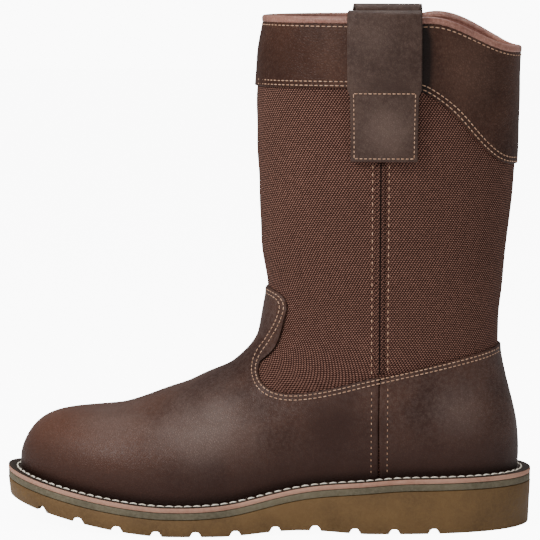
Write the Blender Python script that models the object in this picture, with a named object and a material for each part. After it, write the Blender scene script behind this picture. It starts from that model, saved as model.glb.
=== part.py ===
"""Pull-on work boot with a wedge sole, for the left foot. Metres, +Z up, toe towards -X.

The origin is on the floor, under the flat tread of the heel. The outer side of the foot is
towards -Y. One function gives the form of the boot, and every piece of the upper is a wall
between two lifts of that form.
"""
from collections import namedtuple
from math import pi

import bmesh
import bpy
import numpy as np

# Clearance between two pieces that touch
GAP = 0.0003

# Foot, measured on the cloth and lining, without the leather over it
LAST_LENGTH = 0.2940
BALL_WIDTH = 0.0990
INSTEP_RISE = 0.1100
HEEL_REST = 0.905

# Shaft
SHAFT_RISE = 0.1590
SHAFT_DEPTH = 0.1560
SHAFT_WIDTH = 0.1040
ANKLE_CENTRE = 0.734
RIM_DIP = 0.0175
RIM_DIP_START = 0.816
INNER_RIM = 0.0050

# Walls and trims
WALL = 0.0022
LEATHER = 0.0013
PIPING_HEIGHT = 0.0039
PIPING_OVERHANG = 0.0002
SEAM_WIDTH = 0.0045
SEAM_HEIGHT = 0.0009
SEAM_STATION = 0.724
SEAM_SPLIT = 0.0006
SEAM_END_GAP = 0.0015

# Pull straps
STRAP_WIDTH = 0.0402
STRAP_THICKNESS = 0.0020
STRAP_STATION = 0.730
INNER_STRAP_STATION = 0.744
STRAP_DROP = 0.0790
STRAP_FOOT = 0.93
STRAP_NECK = 0.5
STRAP_LOOP = 0.0016
INNER_STRAP_LOOP = 0.0034
STRAP_SLACK = 0.0034
LOOP_FULLNESS = (0.42, 0.60)

# Sole
BALL_SOLE = 0.0175
HEEL_SOLE = 0.0330
TOE_SPRING = 0.0130
SPRING_POWER = 1.5
ARCH_RISE = 0.0028
WELT_LEDGE = 0.0095
WELT_THICKNESS = 0.0030
WELT_UNDERLAP = 0.0015
MIDSOLE_THICKNESS = 0.0038
INSOLE_RISE = 0.0025
OUTSOLE_TAPER = 0.0010

# Tread notches
NOTCH_COUNT = 11
NOTCH_FIRST = 0.045
NOTCH_PITCH = 0.0232
NOTCH_DEPTH = 0.0031
NOTCH_MOUTH = 0.0070
NOTCH_TOP = 0.0033
ZIGZAG = 0.0030
ZIGZAG_STEP = 0.0160

# Places along the sole, as shares of the foot's length behind the toe
SPRING_END = 0.300
ARCH_FRONT = 0.400
ARCH_BACK = 0.720
WEDGE_FRONT = 0.330
WEDGE_BACK = 0.800

# How finely the form is read
COLUMNS = 56
SHAFT_STEPS = 4
SOLE_STATIONS = 36
BAND_COLUMNS = 5
LOOP_STEPS = 8
SEAM_RINGS = 9
LINE_STEPS = 3
NUDGE = 0.001
HALVINGS = 30
SHARP_ANGLE = 0.7

# How far a cutter reaches past what it cuts
CUTTER_MARGIN = 0.0200

# Steps down a pull strap, as shares of its drop from the bend to its end
STRAP_STEPS = (1.00, 0.75, 0.53, 0.47, 0.30, 0.15)

# Where across a section the half widths below are given, from its front to its back
STATIONS = (0.00, 0.12, 0.33, 0.60, 0.85, 1.00)

# How far the middle of the foot swings towards its inner side, as a share of the ball width
SWING = (0.070, 0.045, 0.000, -0.035, 0.000, 0.000)

# Sections of the foot from the welt to the bend of the ankle. front and back are shares of the
# length, rises are shares of INSTEP_RISE, settle is how much of the sole's curve a section keeps,
# swing is how much of SWING it keeps, and the rest are half widths as shares of the ball width.
FootRow = namedtuple("FootRow", "front front_rise back back_rise settle swing tip toe ball waist heel rear")
FOOT = (
    FootRow(0.000, 0.000, 1.003, 0.000, 1.00, 1.00, 0.64, 0.605, 0.515, 0.365, 0.480, 0.57),
    FootRow(0.000, 0.085, 1.005, 0.080, 0.90, 1.00, 0.66, 0.625, 0.530, 0.378, 0.500, 0.59),
    FootRow(0.017, 0.190, 1.004, 0.165, 0.72, 1.00, 0.65, 0.625, 0.525, 0.386, 0.505, 0.59),
    FootRow(0.049, 0.270, 1.001, 0.245, 0.52, 0.98, 0.56, 0.535, 0.485, 0.394, 0.503, 0.59),
    FootRow(0.105, 0.309, 0.996, 0.315, 0.36, 0.95, 0.45, 0.460, 0.450, 0.398, 0.500, 0.58),
    FootRow(0.193, 0.329, 0.989, 0.390, 0.25, 0.90, 0.47, 0.490, 0.425, 0.402, 0.492, 0.57),
    FootRow(0.290, 0.415, 0.981, 0.470, 0.15, 0.80, 0.46, 0.470, 0.405, 0.408, 0.478, 0.56),
    FootRow(0.386, 0.515, 0.973, 0.560, 0.08, 0.65, 0.41, 0.425, 0.403, 0.413, 0.468, 0.55),
    FootRow(0.445, 0.610, 0.967, 0.660, 0.03, 0.50, 0.38, 0.395, 0.403, 0.420, 0.464, 0.54),
    FootRow(0.479, 0.720, 0.967, 0.770, 0.00, 0.35, 0.37, 0.395, 0.412, 0.430, 0.468, 0.54),
    FootRow(0.494, 0.865, 0.969, 0.885, 0.00, 0.20, 0.385, 0.405, 0.425, 0.443, 0.480, 0.54),
    FootRow(0.500, 1.000, 0.974, 1.010, 0.00, 0.10, 0.415, 0.430, 0.445, 0.460, 0.490, 0.54),
)

# Sections of the shaft above the bend of the ankle. rise is a share of SHAFT_RISE, lean and depth
# are shares of SHAFT_DEPTH, and the rest are half widths as shares of the shaft width.
ShaftRow = namedtuple("ShaftRow", "rise lean depth swing tip toe ball waist heel rear")
SHAFT = (
    ShaftRow(0.140, 0.000, 0.928, 0.04, 0.435, 0.440, 0.450, 0.460, 0.480, 0.510),
    ShaftRow(0.305, 0.006, 0.955, 0.00, 0.455, 0.460, 0.468, 0.475, 0.485, 0.500),
    ShaftRow(0.505, 0.008, 0.978, 0.00, 0.475, 0.478, 0.484, 0.488, 0.492, 0.500),
    ShaftRow(0.710, 0.009, 0.984, 0.00, 0.488, 0.490, 0.494, 0.496, 0.498, 0.500),
    ShaftRow(0.875, 0.017, 0.974, 0.00, 0.494, 0.496, 0.500, 0.500, 0.500, 0.500),
    ShaftRow(1.000, 0.030, 0.957, 0.00, 0.490, 0.492, 0.496, 0.496, 0.496, 0.490),
)

# Top line of the leather round the foot, from the middle of the instep back to the heel: shares of
# the foot's length behind the toe, and of INSTEP_RISE above the welt
LEATHER_LINE = (
    (0.440, 0.990), (0.508, 0.980), (0.538, 0.930), (0.540, 0.850), (0.520, 0.735), (0.492, 0.615),
    (0.484, 0.530), (0.503, 0.470), (0.556, 0.446), (0.640, 0.486), (0.720, 0.543), (0.850, 0.617),
    (0.960, 0.675), (1.060, 0.720),
)

# Lower edge of the collar, from the front to the back: shares of the foot's length behind the toe,
# and of SHAFT_RISE above the bend of the ankle
COLLAR_LINE = (
    (0.400, 0.735), (0.600, 0.742), (0.760, 0.740), (0.815, 0.718), (0.860, 0.655), (0.900, 0.572),
    (0.940, 0.495), (0.985, 0.455), (1.060, 0.447),
)

# The piping's outline from its inner foot over to its outer foot, as shares of its width and height
PIPING_PROFILE = ((-0.50, 0.00), (-0.50, 0.60), (-0.26, 1.00), (0.26, 1.00), (0.50, 0.60), (0.50, 0.00))

# A notch seen from above: steps across the sole in ZIGZAG_STEP, and shifts along it in ZIGZAG
NOTCH_PATH = (
    (-5.0, 0.0), (-2.0, 0.0), (-1.5, 1.0), (-0.5, -1.0), (0.5, 1.0), (1.5, -1.0), (2.0, 0.0), (5.0, 0.0),
)


def along(share):
    """X at a share of the foot's length behind the toe."""
    return (share - HEEL_REST) * LAST_LENGTH


def tread_height(x):
    """Height of the tread: it springs up at the toe and arches a little under the waist."""
    spring = np.clip((along(SPRING_END) - x) / (along(SPRING_END) - along(0.0)), 0.0, None)
    arch = np.clip((x - along(ARCH_FRONT)) / (along(ARCH_BACK) - along(ARCH_FRONT)), 0.0, 1.0)
    return TOE_SPRING * spring ** SPRING_POWER + ARCH_RISE * np.sin(pi * arch) ** 2


def sole_top(x):
    """Height of the welt's upper face, where the upper stands."""
    wedge = np.clip((x - along(WEDGE_FRONT)) / (along(WEDGE_BACK) - along(WEDGE_FRONT)), 0.0, 1.0)
    wedge = wedge * wedge * (3.0 - 2.0 * wedge)
    return tread_height(x) + BALL_SOLE + (HEEL_SOLE - BALL_SOLE) * wedge


def rim_height(x, y=0.0):
    """Height of the top edge: level, then dipping to the back, later on the inner side."""
    dip = np.clip((x - along(RIM_DIP_START)) / (along(1.0) - along(RIM_DIP_START)), 0.0, 1.0)
    inner = np.clip(y / (SHAFT_WIDTH / 4.0), 0.0, 1.0) * INNER_RIM * np.sin(pi * dip)
    return ankle_height() + SHAFT_RISE - RIM_DIP * dip * dip * (3.0 - 2.0 * dip) + inner


def ankle_height():
    """Height of the bend of the ankle."""
    return float(sole_top(along(1.0))) + INSTEP_RISE


def spline(knots, values, at):
    """Natural cubic curve through the rows of values at the knots, read at each number in at."""
    knots = np.asarray(knots, float)
    values = np.asarray(values, float)
    step = np.diff(knots)
    slope = np.diff(values, axis=0) / step[:, None]
    system = np.diag(2.0 * (step[:-1] + step[1:])) + np.diag(step[1:-1], 1) + np.diag(step[1:-1], -1)
    bend = np.zeros_like(values)
    bend[1:-1] = np.linalg.solve(system, 6.0 * np.diff(slope, axis=0))
    cell = np.clip(np.searchsorted(knots, at, side="right") - 1, 0, len(step) - 1)
    width = step[cell][:, None]
    after = (at - knots[cell])[:, None] / width
    before = 1.0 - after
    straight = before * values[cell] + after * values[cell + 1]
    curve = (before ** 3 - before) * bend[cell] + (after ** 3 - after) * bend[cell + 1]
    return straight + curve * width ** 2 / 6.0


def section_table():
    """Both tables in metres: a section's two ends, settle and swing, then its half widths."""
    toe_z = float(sole_top(along(0.0)))
    heel_z = float(sole_top(along(1.0)))
    table = []
    for row in FOOT:
        front_z = toe_z + row.front_rise * INSTEP_RISE
        back_z = heel_z + row.back_rise * INSTEP_RISE
        widths = [share * BALL_WIDTH for share in row[6:]]
        table.append([along(row.front), front_z, along(row.back), back_z, row.settle, row.swing] + widths)
    for row in SHAFT:
        centre = along(ANKLE_CENTRE) + row.lean * SHAFT_DEPTH
        half = row.depth * SHAFT_DEPTH / 2.0
        z = ankle_height() + row.rise * SHAFT_RISE
        widths = [share * SHAFT_WIDTH for share in row[4:]]
        table.append([centre - half, z, centre + half, z, 0.0, row.swing] + widths)
    return np.array(table)


SECTIONS = section_table()
ANKLE_ROW = len(FOOT) - 1
TOP_ROW = len(SECTIONS) - 1
MID_SHAFT_ROW = (ANKLE_ROW + TOP_ROW) / 2.0


def form_points(angle, row):
    """Points of the form. angle is 0 at the front, a quarter turn at the outer side and a half turn
    at the back; row counts the sections from the welt up."""
    read = spline(np.arange(len(SECTIONS)), SECTIONS, row)
    front_x, front_z, back_x, back_z, settle, swing = read[:, :6].T
    share = (1.0 - np.cos(angle)) / 2.0
    x = front_x + (back_x - front_x) * share
    front_top = sole_top(front_x)
    chord = front_top + (sole_top(back_x) - front_top) * share
    z = front_z + (back_z - front_z) * share + settle * (sole_top(x) - chord)
    half_width = (read[:, 6:] * spline(STATIONS, np.eye(len(STATIONS)), share)).sum(axis=1)
    centre = swing * BALL_WIDTH * spline(STATIONS, np.array(SWING)[:, None], share)[:, 0]
    return np.stack((x, centre - np.sin(angle) * half_width, z), axis=1)


def form(angle, row, lift=0.0):
    """Points of the form moved outwards by lift. The lowest section stands on the welt."""
    angle, row, lift = (np.ravel(a).astype(float) for a in np.broadcast_arrays(angle, row, lift))
    around = form_points(angle + NUDGE, row) - form_points(angle - NUDGE, row)
    upward = form_points(angle, row + NUDGE) - form_points(angle, np.maximum(row - NUDGE, 0.0))
    outward = np.cross(around, upward)
    outward /= np.linalg.norm(outward, axis=1)[:, None]
    points = form_points(angle, row) + outward * lift[:, None]
    standing = row <= 0.0
    points[standing, 2] = sole_top(points[standing, 0]) + GAP
    return points


def row_at_height(angle, height_at):
    """Row at each angle where the form reaches a height that depends on x and y."""
    low = np.zeros_like(angle)
    high = np.full_like(angle, TOP_ROW + 1.0)
    for _ in range(HALVINGS):
        middle = (low + high) / 2.0
        points = form_points(angle, middle)
        below = points[:, 2] < height_at(points[:, 0], points[:, 1])
        low = np.where(below, middle, low)
        high = np.where(below, high, middle)
    return (low + high) / 2.0


def angle_at(x, row, side):
    """Angle of the form's point at x on a row, on the outer (1) or inner (-1) side."""
    read = spline(np.arange(len(SECTIONS)), SECTIONS, np.array([row]))[0]
    share = (x - read[0]) / (read[2] - read[0])
    return side * np.arccos(1.0 - 2.0 * share)


def outline(angle, reach):
    """The foot's outline at the welt, seen from above and moved outwards by reach."""
    points = form_points(angle, np.zeros_like(angle))[:, :2]
    ahead = form_points(angle + NUDGE, np.zeros_like(angle))[:, :2]
    behind = form_points(angle - NUDGE, np.zeros_like(angle))[:, :2]
    along_edge = ahead - behind
    outward = np.stack((along_edge[:, 1], -along_edge[:, 0]), axis=1)
    outward /= np.linalg.norm(outward, axis=1)[:, None]
    return points + outward * reach


def wall_edge(angle):
    """Row of the upper edge of the walls, under the piping."""
    return row_at_height(angle, lambda x, y: rim_height(x, y) - PIPING_HEIGHT - GAP)


def collection(name):
    """A new collection in the scene."""
    made = bpy.data.collections.new(name)
    bpy.context.scene.collection.children.link(made)
    return made


def material(name, colour, roughness):
    """A plain material with a piece's colour and roughness."""
    made = bpy.data.materials.new(name)
    made.use_nodes = True
    shader = made.node_tree.nodes["Principled BSDF"]
    shader.inputs["Base Color"].default_value = (*colour, 1.0)
    shader.inputs["Roughness"].default_value = roughness
    shader.inputs["Metallic"].default_value = 0.0
    return made


def loft(name, rings, finish, group, joined=False, turn=None):
    """Skin over a row of rings of points; the ends are joined to each other or closed. With turn,
    each four-sided face is split along the same slant, mirrored from the ring where it turns back."""
    rings = np.asarray(rings)
    count = len(rings)
    size = rings.shape[1]
    mesh = bpy.data.meshes.new(name)
    faces = []
    for ring in range(count if joined else count - 1):
        this = ring * size
        following = (ring + 1) % count * size
        for k in range(size):
            after = (k + 1) % size
            corners = (this + k, this + after, following + after, following + k)
            if turn is None:
                faces.append(corners)
            elif ring < turn:
                faces += [(corners[0], corners[1], corners[2]), (corners[0], corners[2], corners[3])]
            else:
                faces += [(corners[0], corners[1], corners[3]), (corners[1], corners[2], corners[3])]
    if not joined:
        faces.append(tuple(reversed(range(size))))
        faces.append(tuple(range((count - 1) * size, count * size)))
    mesh.from_pydata(rings.reshape(-1, 3).tolist(), [], faces)
    work = bmesh.new()
    work.from_mesh(mesh)
    bmesh.ops.remove_doubles(work, verts=work.verts, dist=0.000001)
    bmesh.ops.recalc_face_normals(work, faces=work.faces)
    work.to_mesh(mesh)
    work.free()
    mesh.shade_smooth()
    mesh.set_sharp_from_angle(angle=SHARP_ANGLE)
    made = bpy.data.objects.new(name, mesh)
    if finish:
        mesh.materials.append(finish)
    group.objects.link(made)
    return made


def around_boot():
    """Angles of the columns, once round the boot."""
    return np.arange(COLUMNS) * 2.0 * pi / COLUMNS


def wall_rows():
    """Rows of every wall, a row number for each column: foot, then even steps up to the piping."""
    rows = [np.full(COLUMNS, float(k)) for k in range(ANKLE_ROW + 2)]
    top = wall_edge(around_boot())
    return rows + [rows[-1] + (top - rows[-1]) * k / SHAFT_STEPS for k in range(1, SHAFT_STEPS + 1)]


def wall(name, rows, inner, outer, finish, group, to_piping=False):
    """Closed ring between two lifts of the form. rows lists a row for each column, bottom to top."""
    angle = around_boot()
    rings = [form(angle, row, outer) for row in rows] + [form(angle, row, inner) for row in reversed(rows)]
    if to_piping:
        for ring in rings[len(rows) - 1:len(rows) + 1]:
            ring[:, 2] = rim_height(ring[:, 0], ring[:, 1]) - PIPING_HEIGHT - GAP
    return loft(name, rings, finish, group, joined=True, turn=len(rows))


def prism(name, points, half_width, group):
    """Side-view outline drawn out along Y, as a cutter."""
    sides = [[(x, y, z) for x, z in points] for y in (-half_width, half_width)]
    cutter = loft(name, sides, None, group)
    cutter.hide_render = True
    cutter.display_type = "WIRE"
    return cutter


def cut(target, cutter, operation):
    """Boolean of a piece with a cutter, kept live."""
    modifier = target.modifiers.new(cutter.name, "BOOLEAN")
    modifier.operation = operation
    modifier.object = cutter
    modifier.solver = "EXACT"


def side_line(table, base, rise):
    """Smooth side-view line through a table of stations and rises, as points in x and z."""
    values = [(along(station), base + share * rise) for station, share in table]
    knots = np.arange(len(values))
    return spline(knots, values, np.linspace(0.0, knots[-1], LINE_STEPS * knots[-1] + 1))


def leather_line():
    """Top line of vamp and quarter in side view."""
    return side_line(LEATHER_LINE, float(sole_top(along(1.0))), INSTEP_RISE)


def leather_height(x):
    """Height of the leather's top line at an x behind the peak."""
    behind = leather_line()[-LINE_STEPS * len(LEATHER_LINE) // 2:]
    return float(np.interp(x, behind[:, 0], behind[:, 1]))


def make_upper(group):
    """Hollow cloth wall from the welt to the piping."""
    cloth = material("woven_cloth", (0.105, 0.052, 0.036), 0.85)
    wall("upper", wall_rows(), -WALL, 0.0, cloth, group, to_piping=True)


def make_foot_leather(group, cutters):
    """Vamp and quarter: one leather wall cut along the top line and at the side seams."""
    leather = material("oiled_leather", (0.052, 0.023, 0.016), 0.5)
    rows = wall_rows()[:-SHAFT_STEPS]
    line = leather_line()
    seam_x = along(SEAM_STATION)
    seam_z = leather_height(seam_x)
    low = -CUTTER_MARGIN
    toe_x = along(0.0) - CUTTER_MARGIN
    ahead = [p for p in line if p[0] < seam_x - SEAM_SPLIT]
    behind = [p for p in line if p[0] > seam_x + SEAM_SPLIT]
    front_edge = seam_x - SEAM_SPLIT / 2.0
    back_edge = seam_x + SEAM_SPLIT / 2.0
    front = [(toe_x, low), (toe_x, line[0][1]), *ahead, (front_edge, seam_z), (front_edge, low)]
    back = [(back_edge, low), (back_edge, seam_z), *behind, (line[-1][0], low)]
    for name, points in (("vamp", front), ("quarter", back)):
        piece = wall(name, rows, GAP, GAP + LEATHER, leather, group)
        cut(piece, prism(name + "_outline", points, BALL_WIDTH, cutters), "INTERSECT")


def make_collar(group, cutters):
    """Grained leather band round the top, cut along its scalloped lower edge."""
    leather = material("grained_leather", (0.060, 0.027, 0.019), 0.55)
    piece = wall("collar", wall_rows()[-SHAFT_STEPS:], GAP, GAP + LEATHER, leather, group, to_piping=True)
    line = side_line(COLLAR_LINE, ankle_height(), SHAFT_RISE)
    high = ankle_height() + SHAFT_RISE + CUTTER_MARGIN
    points = [(line[0][0], high), *line, (line[-1][0], high)]
    cut(piece, prism("collar_outline", points, SHAFT_WIDTH, cutters), "INTERSECT")


def make_piping(group):
    """Leather binding that sits on the top edges of cloth and collar."""
    binding = material("binding_leather", (0.300, 0.150, 0.120), 0.5)
    angle = around_boot()
    edge = wall_edge(angle)
    outer = GAP + LEATHER + PIPING_OVERHANG
    inner = -WALL - PIPING_OVERHANG
    rings = []
    for across, up in PIPING_PROFILE:
        ring = form(angle, edge, (outer + inner) / 2.0 + across * (outer - inner))
        ring[:, 2] = rim_height(ring[:, 0], ring[:, 1]) - PIPING_HEIGHT * (1.0 - up)
        rings.append(ring)
    loft("piping", rings, binding, group, joined=True)


def band(name, side, station, path, finish, group):
    """Strap over the form. Each step of path is a height, a width, and both faces' lifts and rises."""
    rings = []
    for height, width, lifts, rises in path:
        across = along(station) + np.linspace(-0.5, 0.5, BAND_COLUMNS) * width
        faces = []
        for lift, rise in zip(lifts, rises):
            line = []
            for x in across:
                start = np.array([angle_at(x, MID_SHAFT_ROW, side)])
                row = row_at_height(start, lambda x, y, z=height: z)[0]
                angle = angle_at(x, row, side)
                line.append(form(angle, row, lift)[0] + (0.0, 0.0, rise))
            faces.append(line)
        rings.append(faces[0] + faces[1][::-1])
    loft(name, rings, finish, group)


def strap_path(station, loop):
    """Steps of a pull strap: up the outside, over the piping and down the inside."""
    bend = float(rim_height(along(station))) - PIPING_HEIGHT
    outside = GAP + LEATHER + PIPING_OVERHANG + GAP
    inside = -WALL - PIPING_OVERHANG - GAP
    middle = (outside + STRAP_SLACK + inside) / 2.0
    near = (outside + STRAP_SLACK - inside) / 2.0
    far = near + STRAP_THICKNESS
    level = (0.0, 0.0)
    path = []
    for share in STRAP_STEPS:
        free = min((1.0 - share) / (1.0 - STRAP_NECK), 1.0)
        lift = outside + STRAP_SLACK * free ** 2
        width = STRAP_WIDTH * (STRAP_FOOT if share > STRAP_NECK else 1.0)
        path.append((bend - STRAP_DROP * share, width, (lift, lift + STRAP_THICKNESS), level))
    for step in range(LOOP_STEPS + 1):
        turn = pi * step / LOOP_STEPS
        lifts = (middle + near * np.cos(turn), middle + far * np.cos(turn))
        top = PIPING_HEIGHT + loop
        under, over = (abs(np.sin(turn)) ** power for power in LOOP_FULLNESS)
        rises = (top * under, (top + STRAP_THICKNESS) * over)
        path.append((bend, STRAP_WIDTH, lifts, rises))
    for share in reversed(STRAP_STEPS):
        path.append((bend - STRAP_DROP * share, STRAP_WIDTH, (inside, inside - STRAP_THICKNESS), level))
    return path


def make_straps(group):
    """Pull straps, one on each side; the inner one sits a little further back and higher."""
    leather = material("strap_leather", (0.060, 0.036, 0.027), 0.45)
    outer = strap_path(STRAP_STATION, STRAP_LOOP)
    inner = strap_path(INNER_STRAP_STATION, INNER_STRAP_LOOP)
    band("pull_strap_outer", 1, STRAP_STATION, outer, leather, group)
    band("pull_strap_inner", -1, INNER_STRAP_STATION, inner, leather, group)


def make_seams(group):
    """Raised seams in the cloth, from the leather to the pull straps."""
    cloth = material("seam_cloth", (0.100, 0.050, 0.035), 0.8)
    low = leather_height(along(SEAM_STATION) + SEAM_WIDTH / 2.0) + SEAM_END_GAP
    high = float(rim_height(along(STRAP_STATION))) - PIPING_HEIGHT - STRAP_DROP - SEAM_END_GAP
    heights = np.linspace(low, high, SEAM_RINGS)
    path = [(z, SEAM_WIDTH, (GAP, GAP + SEAM_HEIGHT), (0.0, 0.0)) for z in heights]
    for name, side in (("side_seam_outer", 1), ("side_seam_inner", -1)):
        band(name, side, SEAM_STATION, path, cloth, group)


def plate(name, reaches, heights, finish, group):
    """Layer of the sole: its outline moved out by a reach for its top and one for its bottom."""
    extra = [angle_at(along(s), 0.0, 1) for s in (SPRING_END, ARCH_FRONT, ARCH_BACK)]
    angle = np.unique(np.append(np.linspace(0.0, pi, SOLE_STATIONS + 1), extra))
    rings = []
    for reach, height, sides in ((reaches[0], heights[0], (1, -1)), (reaches[1], heights[1], (-1, 1))):
        for side in sides:
            edge = outline(side * angle, reach)
            rings.append(np.column_stack((edge, height(edge[:, 0]))))
    return loft(name, np.stack(rings, axis=1), finish, group)


def make_sole(group, cutters):
    """Welt, midsole, outsole and insole, from the top down."""
    welt = material("welt_leather", (0.150, 0.090, 0.060), 0.6)
    angle = around_boot()
    rings = []
    inner = -WALL - WELT_UNDERLAP
    corners = ((WELT_LEDGE, 0.0), (inner, 0.0), (inner, WELT_THICKNESS), (WELT_LEDGE, WELT_THICKNESS))
    for reach, drop in corners:
        edge = outline(angle, reach)
        rings.append(np.column_stack((edge, sole_top(edge[:, 0]) - drop)))
    loft("welt", rings, welt, group, joined=True)

    midsole_top = WELT_THICKNESS + GAP
    outsole_top = midsole_top + MIDSOLE_THICKNESS + GAP
    grey = material("midsole_rubber", (0.120, 0.115, 0.090), 0.7)
    reaches = (WELT_LEDGE, WELT_LEDGE)
    heights = (lambda x: sole_top(x) - midsole_top, lambda x: sole_top(x) - outsole_top + GAP)
    plate("midsole", reaches, heights, grey, group)

    rubber = material("outsole_rubber", (0.110, 0.085, 0.040), 0.75)
    reaches = (WELT_LEDGE, WELT_LEDGE - OUTSOLE_TAPER)
    outsole = plate("outsole", reaches, (lambda x: sole_top(x) - outsole_top, tread_height), rubber, group)
    cut(outsole, notch_cutter(cutters), "DIFFERENCE")

    board = material("footbed", (0.200, 0.150, 0.100), 0.9)
    inset = inner - GAP
    heights = (lambda x: sole_top(x) + INSOLE_RISE, lambda x: sole_top(x) - WELT_THICKNESS)
    plate("insole", (inset, inset), heights, board, group)


def notch_cutter(cutters):
    """Trapezoid grooves across the tread, zigzag in the middle and straight at the sides."""
    slope = (NOTCH_MOUTH - NOTCH_TOP) / (2.0 * NOTCH_DEPTH)
    wide = NOTCH_MOUTH / 2.0 + slope * NOTCH_DEPTH
    narrow = NOTCH_TOP / 2.0
    work = bmesh.new()
    for k in range(NOTCH_COUNT):
        x = along(NOTCH_FIRST) + k * NOTCH_PITCH
        z = float(tread_height(x))
        low, high = z - NOTCH_DEPTH, z + NOTCH_DEPTH
        profile = ((-wide, low), (-narrow, high), (narrow, high), (wide, low))
        loops = []
        for step, shift in NOTCH_PATH:
            points = [(x + shift * ZIGZAG + dx, step * ZIGZAG_STEP, height) for dx, height in profile]
            loops.append([work.verts.new(p) for p in points])
        for this, following in zip(loops, loops[1:]):
            for j in range(len(profile)):
                after = (j + 1) % len(profile)
                work.faces.new((this[j], this[after], following[after], following[j]))
        work.faces.new(loops[0][::-1])
        work.faces.new(loops[-1])
    bmesh.ops.recalc_face_normals(work, faces=work.faces)
    mesh = bpy.data.meshes.new("notches")
    work.to_mesh(mesh)
    work.free()
    cutter = bpy.data.objects.new("notches", mesh)
    cutter.hide_render = True
    cutter.display_type = "WIRE"
    cutters.objects.link(cutter)
    return cutter


def main():
    """Build the boot from the floor up."""
    for old in list(bpy.data.objects):
        bpy.data.objects.remove(old, do_unlink=True)
    boot = collection("work_boot")
    cutters = collection("cutters")
    make_sole(boot, cutters)
    make_upper(boot)
    make_foot_leather(boot, cutters)
    make_collar(boot, cutters)
    make_piping(boot)
    make_seams(boot)
    make_straps(boot)


main()
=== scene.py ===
# %% [markdown]
# # A pull-on work boot with a wedge sole
# This lesson dresses a plain solid model of a left work boot. The solids already have the right
# size and place. Each step replaces one of them with a finer mesh, or sews, textures or lights it.
# Metres throughout, +Z up, toe towards -X, outer side of the foot towards -Y.

# %% Load the solid boot
from collections import namedtuple
from math import pi, radians

import bmesh
import bpy
import numpy as np
from mathutils import Euler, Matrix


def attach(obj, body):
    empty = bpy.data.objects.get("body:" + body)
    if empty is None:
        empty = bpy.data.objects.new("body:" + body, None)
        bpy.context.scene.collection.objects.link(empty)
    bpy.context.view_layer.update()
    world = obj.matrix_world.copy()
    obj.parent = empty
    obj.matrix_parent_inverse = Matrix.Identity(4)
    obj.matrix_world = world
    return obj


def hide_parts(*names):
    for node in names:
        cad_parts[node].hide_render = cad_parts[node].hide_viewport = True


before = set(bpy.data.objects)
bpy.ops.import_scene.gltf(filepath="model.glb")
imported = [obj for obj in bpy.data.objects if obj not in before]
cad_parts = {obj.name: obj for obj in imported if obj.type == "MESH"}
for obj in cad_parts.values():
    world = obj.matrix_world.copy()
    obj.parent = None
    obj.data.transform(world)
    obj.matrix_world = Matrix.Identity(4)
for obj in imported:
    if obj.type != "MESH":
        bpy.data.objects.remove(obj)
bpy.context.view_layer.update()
print("solid nodes:", len(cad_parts))

# %% [markdown]
# ## The form of the last
# A boot is built round a last, so one function gives the whole form here too: a stack of
# sections, each a chain of half widths, with a smooth curve through them. Every wall, edge and
# row of stitches is read from it, which keeps them all on the same surface.

# %% Sizes and sections of the form
GAP = 0.0003
LAST_LENGTH = 0.2940
BALL_WIDTH = 0.0990
INSTEP_RISE = 0.1100
HEEL_REST = 0.905
SHAFT_RISE = 0.1590
SHAFT_DEPTH = 0.1560
SHAFT_WIDTH = 0.1040
ANKLE_CENTRE = 0.734
RIM_DIP = 0.0175
RIM_DIP_START = 0.816
INNER_RIM = 0.0050
WALL = 0.0022
LEATHER = 0.0013
PIPING_HEIGHT = 0.0039
SEAM_WIDTH = 0.0045
SEAM_HEIGHT = 0.0009
SEAM_STATION = 0.724
SEAM_SPLIT = 0.0006
STRAP_WIDTH = 0.0402
STRAP_THICKNESS = 0.0020
STRAP_STATION = 0.730
INNER_STRAP_STATION = 0.744
STRAP_DROP = 0.0790
STRAP_FOOT = 0.93
STRAP_LOOP = 0.0016
INNER_STRAP_LOOP = 0.0034
STRAP_SLACK = 0.0034
BALL_SOLE = 0.0175
HEEL_SOLE = 0.0330
TOE_SPRING = 0.0130
SPRING_POWER = 1.5
ARCH_RISE = 0.0028
WELT_LEDGE = 0.0095
WELT_THICKNESS = 0.0030
WELT_UNDERLAP = 0.0015
MIDSOLE_THICKNESS = 0.0038
INSOLE_RISE = 0.0025
OUTSOLE_TAPER = 0.0010
NOTCH_COUNT = 11
NOTCH_FIRST = 0.045
NOTCH_PITCH = 0.0232
NOTCH_DEPTH = 0.0031
NOTCH_MOUTH = 0.0070
NOTCH_TOP = 0.0033
ZIGZAG = 0.0030
ZIGZAG_STEP = 0.0160
SPRING_END = 0.300
ARCH_FRONT = 0.400
ARCH_BACK = 0.720
WEDGE_FRONT = 0.330
WEDGE_BACK = 0.800
NUDGE = 0.001
HALVINGS = 30
TUCK = 0.0012
BINDING_LAP = 0.0002
STATIONS = (0.00, 0.12, 0.33, 0.60, 0.85, 1.00)
SWING = (0.070, 0.045, 0.000, -0.035, 0.000, 0.000)
FootRow = namedtuple("FootRow", "front front_rise back back_rise settle swing tip toe ball waist heel rear")
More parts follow.
